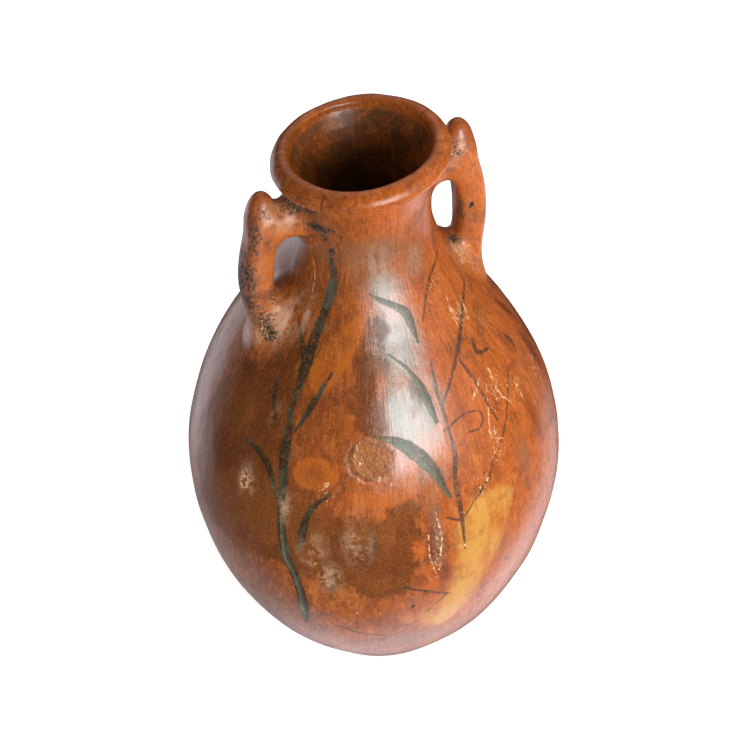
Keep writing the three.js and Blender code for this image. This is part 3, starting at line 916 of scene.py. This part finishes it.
def patch_field(azimuth, height, patches):
    """Distance inside the nearest patch's edge, and below zero outside, up to PATCH_FADE."""
    result = np.full(len(azimuth), -PATCH_FADE)
    for corners in patches:
        ring = closed_curve(corners)
        middle = ring.mean(axis=0)

        def flattened(turned, up):
            return turned * math.radians(1) * outside_radius(up), (up - middle[1]) * WALL_SLANT

        x, y = flattened((azimuth - middle[0] + 180) % 360 - 180, height)
        cx, cy = flattened(ring[:, 0] - middle[0], ring[:, 1])
        inside = np.zeros(len(x), bool)
        nearest = np.full(len(x), PATCH_FADE)
        for n in range(len(ring)):
            from_x, from_y = x - cx[n - 1], y - cy[n - 1]
            run_x, run_y = cx[n] - cx[n - 1], cy[n] - cy[n - 1]
            t = np.clip((from_x * run_x + from_y * run_y) / (run_x ** 2 + run_y ** 2), 0, 1)
            nearest = np.minimum(nearest, np.hypot(from_x - t * run_x, from_y - t * run_y))
            straddles = (cy[n - 1] > y) != (cy[n] > y)
            with np.errstate(divide="ignore", invalid="ignore"):
                left = from_x < run_x * from_y / run_y
            inside ^= straddles & left
        result = np.maximum(result, np.where(inside, nearest, -nearest))
    return result * MM


def spot_field(points, on_wall, on_handle):
    """Soft spots; where they overlap, the strongest counts."""
    spots = [(on_pot(azimuth, height), *rest) for azimuth, height, *rest in on_wall]
    spots += [(np.array([side * out, side * aside, height]), *rest)
              for side, out, aside, height, *rest in on_handle]
    total = np.zeros(len(points))
    for centre, around, along, strength in spots:
        outwards = unit(np.array([centre[0], centre[1], 0]))
        through = around if around < SMALL_SPOT else max(around, SPOT_DEPTH)
        sideways = np.array([-outwards[1], outwards[0], 0])
        offset = points - centre
        beside = offset @ sideways / around
        ahead = np.hypot(offset @ outwards / through, offset[:, 2] / along)
        total = np.maximum(total, strength * (1 - smooth_step(np.hypot(beside, ahead), 0.2, 1.3)))
    return total


def paint(mesh, points):
    """Stores on each vertex what the materials need to know about its place on the pot."""
    angle, height = np.arctan2(points[:, 1], points[:, 0]), points[:, 2]
    azimuth, outwards = np.degrees(angle), around_axis(1, angle, 0)
    store(mesh, "comb", around_axis(0.1, angle, height * MM))
    for name, strokes in STROKES.items():
        store(mesh, name, brush_field(points, outwards, strokes))
    store(mesh, "crack", crack_field(points))
    store(mesh, "patch", columns(*(patch_field(azimuth, height, kind) for kind in (OCHRE, ORANGE, BROWN))))
    for name, kinds in SPOTS.items():
        store(mesh, name, columns(*(spot_field(points, *kind) for kind in kinds)))
    proud = np.clip((np.hypot(points[:, 0], points[:, 1]) - outside_radius(height)) / 6, -1, 1)
    near_scar = np.linalg.norm(points - BOSS_CENTRE, axis=1) * MM
    # The third number says how far each place faces the side of the slip's painted light.
    store(mesh, "form", columns(proud, near_scar, np.cos(angle - math.radians(PAINTED_LIGHT_AZIMUTH))))


# ---- Materials ----

def colour(red, green, blue):
    """A screen colour from 0 to 255 as the light value that a shader needs."""
    def linear(value):
        value /= 255
        return value / 12.92 if value <= 0.04045 else ((value + 0.055) / 1.055) ** 2.4
    return (linear(red), linear(green), linear(blue), 1)


RED_BROWN = colour(112, 56, 18)
DEEP_BROWN = colour(70, 34, 11)
BRIGHT_ORANGE = colour(152, 74, 22)
PALE_ORANGE = colour(184, 112, 56)
STRAP_ORANGE = colour(182, 100, 50)
# Aged red, also laid on the left strap's outer face as painted shade.
AGED_RED_AND_SHADE = colour(92, 34, 14)
FADED_SLIP = colour(104, 80, 62)
OCHRE_PAINT = colour(172, 124, 52)
OCHRE_THIN = colour(162, 98, 36)
CRESCENT_ORANGE = colour(162, 84, 16)
BROWN_PAINT = colour(98, 54, 20)
BROWN_THICK = colour(74, 38, 14)
GREEN_PAINT = colour(30, 34, 24)
# Paler film on the thick paint, partly a painted sheen.
GREEN_FILM_SHEEN = colour(76, 90, 78)
TEAL_PAINT = colour(50, 54, 42)
TEAL_FILM_SHEEN = colour(92, 98, 80)
STEM_GREY = colour(48, 38, 30)
CREAM = colour(212, 172, 120)
DUST = colour(168, 134, 106)
SOOT = colour(28, 20, 14)
# Dark grime, also laid on as painted shade under the lip and on the left strap's outer face.
GRIME_AND_SHADE = colour(62, 54, 40)
# Painted shade inside the throat.
INSIDE_SHADE = colour(58, 30, 14)
INSIDE_GREEN = colour(52, 42, 20)
BARE_CLAY = colour(136, 84, 38)


def add_node(tree, kind, values, **settings):
    """Adds a node, sets or links its inputs, and returns it."""
    made = tree.nodes.new(kind)
    for key, value in settings.items():
        setattr(made, key, value)
    for index, value in values.items():
        if isinstance(value, Value):
            tree.links.new(value.socket, made.inputs[index])
        else:
            made.inputs[index].default_value = value
    return made


def computed(operation, *numbers):
    """The result of a Math node, from at least one value of a node tree."""
    tree = next(number.tree for number in numbers if isinstance(number, Value))
    made = add_node(tree, "ShaderNodeMath", dict(enumerate(numbers)), operation=operation)
    return Value(tree, made.outputs[0])


class Value:
    """What a node gives out. Sums, differences and products of values are nodes too."""

    def __init__(self, tree, socket):
        self.tree, self.socket = tree, socket

    def __add__(self, other):
        return computed("ADD", self, other)

    def __sub__(self, other):
        return computed("SUBTRACT", self, other)

    def __rsub__(self, other):
        return computed("SUBTRACT", other, self)

    def __mul__(self, other):
        return computed("MULTIPLY", self, other)

    def highest(self, other):
        return computed("MAXIMUM", self, other)

    def between(self, low, high, start=0.0, end=1.0):
        """Goes smoothly from start to end while this value goes from low to high."""
        values = {0: self, 1: low, 2: high, 3: start, 4: end}
        made = add_node(self.tree, "ShaderNodeMapRange", values, interpolation_type="SMOOTHSTEP")
        return Value(self.tree, made.outputs[0])


class Shader:
    """Adds nodes to a material. Each method returns the value that carries its result."""

    def __init__(self, name):
        self.material = bpy.data.materials.new(name)
        self.material.use_nodes = True
        self.tree = self.material.node_tree
        self.tree.nodes.clear()

    def output(self, kind, values, output=0, **settings):
        return Value(self.tree, add_node(self.tree, kind, values, **settings).outputs[output])

    def blend(self, share, under, over):
        return self.output("ShaderNodeMix", {0: share, 6: under, 7: over}, 2, data_type="RGBA")

    def layered(self, base, rows):
        """Blends tones over a base, each where its noise goes from one value to another."""
        for noise, start, full, share, tone in rows:
            base = self.blend(noise.between(start, full, 0, share), base, tone)
        return base

    def stretched(self, vector, scale):
        return self.output("ShaderNodeVectorMath", {0: vector, 1: scale}, operation="MULTIPLY")

    def noise(self, where, size, detail=4.0, roughness=0.55, distortion=0.0):
        values = {"Vector": where, "Scale": 1 / size, "Detail": detail, "Roughness": roughness,
                  "Distortion": distortion}
        return self.output("ShaderNodeTexNoise", values)

    def attribute(self, name):
        return self.output("ShaderNodeAttribute", {}, "Vector", attribute_name=name)

    def parts(self, name):
        """The three numbers that paint() stored under a name."""
        made = add_node(self.tree, "ShaderNodeSeparateXYZ", {0: self.attribute(name)})
        return [Value(self.tree, socket) for socket in made.outputs]

    def stroke(self, name, ragged, softness=0.0005):
        """1 inside the brush strokes of a group, with edges broken by a noise."""
        across, away, half = self.parts(name)
        wide = half * (ragged * 0.7 + 0.65)
        mark = (wide - computed("ABSOLUTE", across)).between(-softness, softness)
        return mark * (away - half).between(0.0025, 0.001)

    def finish(self, values):
        surface = self.output("ShaderNodeBsdfPrincipled", values)
        add_node(self.tree, "ShaderNodeOutputMaterial", {0: surface}).is_active_output = True
        return self.material


def clay_marks(s, is_lip):
    """The noises and painted marks that the parts of a clay material share."""
    marks = SimpleNamespace(place=s.output("ShaderNodeTexCoord", {}, "Object"), comb=s.attribute("comb"))

    def combed(share, *numbers):
        """Noise drawn out along the burnishing strokes, which run round the lip and down the wall."""
        lie = (share, share, 1) if is_lip else (1, 1, share)
        return s.noise(s.stretched(marks.comb, lie), *numbers)

    marks.scratches = combed(0.1, 0.0016, 5, 0.6)
    marks.bands = combed(0.25, 0.012, 6, 0.65)
    marks.fibres = combed(0.4 if is_lip else 0.35, 0.0024, 6, 0.72, 0.3)
    marks.clouds = s.noise(marks.place, 0.045, 5, 0.55, 0.5)
    marks.mottled = s.noise(marks.place, 0.014, 8, 0.66, 0.6)
    marks.grain = s.noise(marks.place, 0.0013, 5, 0.68)
    marks.specks = s.noise(marks.place, 0.0016, 3, 0.6)
    marks.ochre, marks.orange, marks.brown = s.parts("patch")
    marks.scuff, marks.chip, marks.stain = s.parts("worn_and_shaded")
    marks.aged, marks.faded, marks.crust = s.parts("tone")
    marks.proud, marks.near_scar, marks.toward_light = s.parts("form")
    marks.within = marks.proud.between(-0.7, -1.0)
    return marks


def slip_colour(s, marks, on_handle, is_lip):
    """Slip with painted shade on the side turned from the lamps, darker and browner there, and brighter
    orange on the lit side.
    """
    # Painted light and shade round the pot, varied at random by the clouds.
    painted_light = marks.toward_light.between(-0.2, 0.85, 0, 0.75) + (marks.clouds - 0.5) * 1.6
    base = s.blend(painted_light.between(-0.1, 0.8), RED_BROWN, BRIGHT_ORANGE)
    if is_lip:
        base = s.blend(0.35, base, BRIGHT_ORANGE)
    if on_handle:
        off_the_wall = marks.proud.between(0.1, 1.0)
        base = s.blend(off_the_wall * marks.clouds.between(0.35, 0.6, 0.3, 0.7), base, STRAP_ORANGE)
    base = s.layered(base, (
        (marks.mottled, 0.5, 0.66, 0.5, DEEP_BROWN),
        (marks.mottled, 0.47, 0.32, 0.35, BRIGHT_ORANGE),
        (marks.bands, 0.5, 0.68, 0.4, RED_BROWN),
        (marks.bands, 0.46, 0.32, 0.35, PALE_ORANGE),
        (marks.fibres, 0.5, 0.64, 0.3, PALE_ORANGE),
        (marks.fibres, 0.5, 0.36, 0.36, DEEP_BROWN),
    ))
    streaky = marks.bands.between(0.38, 0.58, 0.4, 1.0)
    # Aged red streaks, and painted shade on the left strap's outer face.
    base = s.blend(marks.aged * streaky, base, AGED_RED_AND_SHADE)
    nearly_even = marks.bands.between(0.38, 0.54, 0.7, 1.0)
    return s.blend(marks.faded * nearly_even * 0.9, base, FADED_SLIP)


def inside_colour(s, marks, base):
    """Darker clay inside the neck, as painted shade in the throat, with greenish blotches."""
    blotch = s.noise(marks.place, 0.009, 7, 0.7).between(0.42, 0.6)
    # Painted shade inside the neck, with greenish blotches in it.
    painted_shade = s.blend(blotch, INSIDE_SHADE, INSIDE_GREEN)
    return s.blend(marks.within * marks.mottled.between(0.36, 0.6, 0.35, 0.85), base, painted_shade)


def patch_colour(s, marks, base):
    """Broad patches of brown, orange and ochre. Sets marks.matt, the share of brown, for the gloss."""
    bands, mottled = marks.bands - 0.5, marks.mottled - 0.5
    ragged = bands * 0.026 + mottled * 0.03
    marks.matt = (marks.brown + ragged).between(-0.004, 0.0045, 0, 0.78)
    thick = (marks.clouds + bands * 0.5).between(0.42, 0.6)
    base = s.blend(marks.matt, base, s.blend(thick, BROWN_PAINT, BROWN_THICK))
    edge = (marks.orange + ragged * 0.25).between(-0.001, 0.0024)
    fading = marks.orange.between(0.012, 0.001, 0.25, 0.75)
    fading = fading * (marks.clouds + bands * 0.4).between(0.42, 0.56, 0.45, 1.0)
    base = s.blend(edge * fading, base, CRESCENT_ORANGE)
    ochre = (marks.ochre + ragged * 0.33).between(-0.004, 0.0035)
    cover = (marks.mottled + bands * 0.6).between(0.62, 0.45, 0.55, 0.95)
    thin = marks.bands.between(0.4, 0.62)
    return s.blend(ochre * cover, base, s.blend(thin, OCHRE_PAINT, OCHRE_THIN))


def plant_colour(s, marks, base):
    """Painted stems and leaves with a paler film, partly painted sheen. Sets marks.green, the share of thick
    paint, for the gloss.
    """
    brush_edge = s.noise(marks.place, 0.005, 4, 0.6)
    worn_paint = s.noise(marks.place, 0.0032, 6, 0.72).between(0.34, 0.5)
    # Patches of paler film on the paint, partly a painted sheen.
    film_sheen = s.noise(marks.place, 0.02, 6, 0.65).between(0.46, 0.66)
    stem = s.stroke("stem", brush_edge).highest(s.stroke("leaf", brush_edge)) * (worn_paint * 0.47 + 0.5)
    base = s.blend(stem, base, s.blend(film_sheen * 0.5, GREEN_PAINT, GREEN_FILM_SHEEN))
    teal = s.stroke("teal", brush_edge) * (worn_paint * 0.4 + 0.55)
    shaded_side = s.parts("teal")[0].between(-0.0012, 0.0012)
    base = s.blend(teal, base, s.blend(shaded_side * (film_sheen * 0.6 + 0.4), TEAL_PAINT, TEAL_FILM_SHEEN))
    thin = s.stroke("thin", brush_edge, 0.0004).highest(s.stroke("twig", brush_edge, 0.0004))
    thin = thin * (worn_paint * 0.7 + 0.15)
    base = s.blend(thin.highest(s.stroke("crack", marks.specks, 0.0003)), base, STEM_GREY)
    marks.green = stem.highest(teal)
    return base


def scar_colour(s, marks, base):
    """Bare clay of the broken boss, with painted shade in the groove round it that is lost in places. Sets
    marks.bare.
    """
    edge = marks.near_scar + ((marks.mottled - 0.5) * 0.012 + (marks.specks - 0.5) * 0.006)
    marks.bare = edge.between(0.0155, 0.011)
    base = s.blend(marks.bare * 0.65, base, BARE_CLAY)
    # Painted shade in the groove round the scar, broken up by a noise.
    groove = edge.between(0.0095, 0.012) * edge.between(0.0145, 0.0125)
    broken = s.noise(marks.place, 0.006, 6, 0.7).between(0.44, 0.54)
    base = s.blend(groove * broken * 0.6, base, DEEP_BROWN)
    hollow = s.noise(marks.place, 0.003, 6, 0.75).between(0.52, 0.6)
    return s.blend(marks.bare * hollow * 0.45, base, DEEP_BROWN)


def wear_and_shade_colour(s, marks, base):
    """Grain, dusty scuffs, dirt and painted shade, pits and cream chips. Also sets their shares on marks,
    for the gloss.
    """
    base = s.layered(base, (
        (marks.grain, 0.5, 0.66, 0.2, PALE_ORANGE),
        (marks.grain, 0.5, 0.36, 0.3, DEEP_BROWN),
    ))
    dust = s.noise(marks.place, 0.005, 7, 0.78) + (marks.bands - 0.5) * 0.9
    marks.scuffed = marks.scuff * dust.between(0.42, 0.62)
    base = s.blend(marks.scuffed * 0.7, base, DUST)
    # Grime, and painted shade under the lip and on the left strap's outer face.
    grime_and_shade_noise = s.noise(marks.place, 0.004, 8, 0.8)
    marks.stained = marks.stain.between(0.0, 0.4) * (grime_and_shade_noise + marks.stain * 0.22).between(0.62, 0.76)
    base = s.blend(marks.stained * 0.75, base, GRIME_AND_SHADE)
    marks.pits = (marks.specks + marks.stain * 0.26).between(0.76, 0.79)
    base = s.blend(marks.pits * 0.92, base, SOOT)
    cell = s.output("ShaderNodeTexVoronoi", {"Vector": marks.place, "Scale": 1 / 0.0036}, "Distance")
    ring = cell.between(0.22, 0.34) * cell.between(0.56, 0.44) * marks.crust.between(0.3, 0.8, 0, 0.7)
    chip_noise = s.noise(s.stretched(marks.comb, (1, 1, 0.5)), 0.0022, 6, 0.72, 0.5)
    fleck_noise = s.noise(s.stretched(marks.comb, (1, 1, 0.4)), 0.001, 4, 0.65)
    chips = (chip_noise + marks.chip * 0.14).between(0.72, 0.76, 0, 0.8)
    flecks = (fleck_noise + marks.chip * 0.16).between(0.7, 0.78, 0, 0.7)
    scratch = s.stroke("scratch", marks.specks, 0.0003) * fleck_noise.between(0.46, 0.6, 0.0, 0.8)
    marks.chipped = chips.highest(flecks).highest(ring.highest(scratch))
    return s.blend(marks.chipped, base, CREAM)


def clay_roughness(marks, bare):
    """Burnished slip is smooth along its scratches, and dull where it is dusty, chipped or dirty, and on the
    spots of painted shade.
    """
    rough = marks.scratches.between(0.3, 0.7, 0.15, 0.27) + marks.mottled.between(0.5, 0.68, 0, 0.08)
    dull = ((marks.scuffed, 0.4), (marks.green, 0.08), (marks.chipped, 0.35), (marks.pits, 0.3),
            (marks.stained, 0.3), (marks.within, 0.1), (marks.stain, 0.22))
    for share, amount in dull:
        rough = rough + share * amount
    return rough + marks.bare * 0.3 if bare else rough


def clay_relief(s, marks):
    """Scratches, fibres, grain and thick paint stand up, and chips and pits go down."""
    height = marks.scratches * 0.35
    raised = ((marks.grain, 0.14), (marks.fibres, 0.45), (marks.mottled, 0.4), (marks.green, 0.18),
              (marks.chipped, -0.5), (marks.pits, -0.6))
    for share, amount in raised:
        height = height + share * amount
    return s.output("ShaderNodeBump", {"Strength": 0.55, "Distance": 0.0005, "Height": height})


def clay_shine(marks, bare):
    """Gloss, weaker on paint, dust, stains and spots of painted shade, and in the throat."""
    shine = 0.75 - (marks.green * 0.45 + marks.within * 0.35)
    shine = shine - (marks.matt * 0.45 + marks.stain.highest(marks.scuff) * 0.3)
    return shine - marks.bare * 0.45 if bare else shine


def clay_material(name, on_handle=False, bare=False, is_lip=False):
    """Burnished slip with its brushwork, wear and dirt."""
    s = Shader(name)
    marks = clay_marks(s, is_lip)
    base = slip_colour(s, marks, on_handle, is_lip)
    base = inside_colour(s, marks, base)
    base = patch_colour(s, marks, base)
    base = plant_colour(s, marks, base)
    if bare:
        base = scar_colour(s, marks, base)
    values = {
        "Base Color": wear_and_shade_colour(s, marks, base),
        "Roughness": clay_roughness(marks, bare),
        "Specular IOR Level": clay_shine(marks, bare),
        "Normal": clay_relief(s, marks),
    }
    return s.finish(values)


# ---- Stage, light and camera ----

CAMERA_DIRECTION = (-112, 43.73)   # azimuth and elevation, as of the lights
CAMERA_ROLL = -2.6
CAMERA_DISTANCE = 1.1331
CAMERA_AIM = (0.0024, -0.001, 0.0198)
CAMERA_LENS = 86.4
FLOOR_REACH = 30
FLOOR_GLOW = 0.52

# Lamps as azimuth, elevation, distance, width, height, power and tint.
WINDOW_SHINE = (-87, 15, 1.2, 0.73, 0.66, 18.5, (0.74, 0.94, 1))
WINDOW_SHINE_ON_LIP = (-87, 15, 1.2, 0.73, 0.66, 9, (0.74, 0.94, 1))
WINDOW_LIGHT = (-86, 19, 1.2, 0.62, 0.6, 19, (1, 0.99, 0.95))
RIGHT_LIGHT = (-18, 32, 1.7, 1.2, 1.0, 14, (1, 0.97, 0.93))
TOP_LIGHT = (60, 80, 1.8, 1.6, 1.6, 8, (1, 1, 1))
WINDOW_AIM = (-0.01, -0.07, 0.09)  # from the pot's middle
ROOM_LIGHT = 0.38
ROOM_SEEN = 0.95
DARKEST_GLOSS = 0.05

# Pale parts of the room that show in the gloss: azimuth, elevation, half angle, softness and strength.
GLOSS_ROOM = [
    (112, -20, 11, 13, 1.1),
    (125, -58, 16, 18, 0.35),
    (-52, 12, 8, 22, 0.6),
    (12, -47, 10, 13, 0.95),
    (-28, -66, 12, 20, 0.5),
    (40, -82, 8, 20, 0.7),
    (68, 48, 18, 25, 0.4),
]


def add_floor():
    """A pale floor that reaches the horizon and glows a little, so that it stays as plain as a backdrop."""
    corners = np.array([[-1, -1, 0], [1, -1, 0], [1, 1, 0], [-1, 1, 0]]) * FLOOR_REACH
    floor = make_object("studio_floor", corners, [(0, 1, 2, 3)])
    floor.location.z = CAD_BOX[0][2]
    values = {"Base Color": (0.93, 0.93, 0.93, 1), "Roughness": 0.9, "Emission Color": (1, 1, 1, 1),
              "Emission Strength": FLOOR_GLOW}
    floor.data.materials.append(Shader("pale_floor").finish(values))
    floor.visible_glossy = False
    floor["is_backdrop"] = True


def direction(azimuth, elevation):
    angle, rise = math.radians(azimuth), math.radians(elevation)
    return Vector((math.cos(angle) * math.cos(rise), math.sin(angle) * math.cos(rise), math.sin(rise)))


def add_softbox(name, aim, azimuth, elevation, distance, width, height, power, tint):
    """A rectangular light that faces the point it is aimed at. Returns it."""
    light = bpy.data.lights.new(name, "AREA")
    light.shape = "RECTANGLE"
    light.size, light.size_y = width, height
    light.energy = power
    light.color = tint
    lamp = add_object(name, light)
    toward = direction(azimuth, elevation)
    lamp.location = aim + toward * distance
    lamp.rotation_euler = toward.to_track_quat("Z", "Y").to_euler()
    return lamp


def add_lights(centre, pieces):
    """A window that only shows in the gloss, weaker on the lip, and three lights without a reflection."""
    front = centre + Vector(WINDOW_AIM)
    lips = [piece for piece in pieces if piece.name.startswith("rim_roll")]
    others = [piece for piece in pieces if piece not in lips]
    for name, window, receivers in (
        ("window_shine", WINDOW_SHINE, others),
        ("window_shine_on_lip", WINDOW_SHINE_ON_LIP, lips),
    ):
        shine = add_softbox(name, front, *window)
        shine.visible_diffuse = False
        shone_on = bpy.data.collections.new(name + "_receivers")
        for piece in receivers:
            shone_on.objects.link(piece)
        shine.light_linking.receiver_collection = shone_on
    for lamp in (
        add_softbox("window_light", front, *WINDOW_LIGHT),
        add_softbox("right_light", centre, *RIGHT_LIGHT),
        add_softbox("top_light", centre, *TOP_LIGHT),
    ):
        lamp.visible_glossy = False


def add_world():
    """A white room. The gloss sees a dim room with a few pale parts, the floor among them."""
    world = bpy.data.worlds.new("studio")
    world.use_nodes = True
    tree = world.node_tree
    tree.nodes.clear()

    def node(kind, values, output=0, **settings):
        return Value(tree, add_node(tree, kind, values, **settings).outputs[output])

    looking = node("ShaderNodeTexCoord", {}, "Generated")
    strength = DARKEST_GLOSS
    for azimuth, elevation, half_angle, softness, bright in GLOSS_ROOM:
        values = {0: looking, 1: direction(azimuth, elevation)}
        nearness = node("ShaderNodeVectorMath", values, "Value", operation="DOT_PRODUCT")
        dark_from, full_to = (math.cos(math.radians(angle)) for angle in (half_angle + softness, half_angle))
        strength = nearness.between(dark_from, full_to, 0.0, float(bright)) + strength
    shader = node("ShaderNodeBackground", {0: (1, 0.98, 0.97, 1), 1: ROOM_LIGHT})
    gloss = node("ShaderNodeBackground", {0: (0.97, 0.92, 1, 1), 1: strength})
    seen = node("ShaderNodeBackground", {0: (1, 1, 1, 1), 1: ROOM_SEEN})
    for rays, other in (("Is Glossy Ray", gloss), ("Is Camera Ray", seen)):
        share = node("ShaderNodeLightPath", {}, rays)
        shader = node("ShaderNodeMixShader", {0: share, 1: shader, 2: other})
    add_node(tree, "ShaderNodeOutputWorld", {0: shader})
    bpy.context.scene.world = world


def add_camera(centre):
    """The photograph's view: from above the front, with the head tilted a little."""
    back = direction(*CAMERA_DIRECTION)
    level_right = Vector((0, 0, 1)).cross(back).normalized()
    level_up = back.cross(level_right)
    roll = math.radians(CAMERA_ROLL)
    right = level_right * math.cos(roll) + level_up * math.sin(roll)
    up = level_up * math.cos(roll) - level_right * math.sin(roll)
    data = bpy.data.cameras.new("camera")
    data.lens, data.sensor_width = CAMERA_LENS, 36
    camera = add_object("camera", data)
    turn = Matrix((right, up, back)).transposed().to_4x4()
    place = centre + Vector(CAMERA_AIM) + back * CAMERA_DISTANCE
    camera.matrix_world = Matrix.Translation(place) @ turn
    bpy.context.scene.camera = camera


# ---- Assembly ----

def shaped_pieces():
    """Makes the pieces, and yields each with the CAD node that it replaces and its material slot."""
    for node, outer, inner in pot_sections():
        yield pot_piece(node, outer, inner), node, "lip_slip" if node == "rim_roll" else "body_slip"
    for side_name, handle in HANDLES.items():
        shape = handle_shape(handle)
        for part, cuts in handle_cuts(handle["side"]).items():
            node = f"handle_{part}_{side_name}"
            yield cut_part(node + "_clay", shape, cuts), node, "handle_slip"
    yield boss_patch(), "boss_stump", "bare_clay"


def build():
    """Gives every piece the material of its slot and its body, and hides the CAD node that it replaces.
    Returns the pieces.
    """
    materials = {
        "body_slip": clay_material("body_slip"),
        "handle_slip": clay_material("handle_slip", on_handle=True),
        "bare_clay": clay_material("bare_clay", bare=True),
        "lip_slip": clay_material("lip_slip", is_lip=True),
    }
    pieces = []
    for piece, node, slot in shaped_pieces():
        piece.data.materials.append(materials[slot])
        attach(piece, "root")
        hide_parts(node)
        pieces.append(piece)
    return pieces


low, high = (Vector(corner) for corner in CAD_BOX)
CENTRE = (low + high) / 2
bpy.context.scene.view_settings.view_transform = "Standard"
add_camera(CENTRE)
add_floor()
add_world()
add_lights(CENTRE, build())

boxes = {"cad": CAD_BOX, "visual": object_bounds()}
{name: [list(corner) for corner in box] for name, box in boxes.items()}
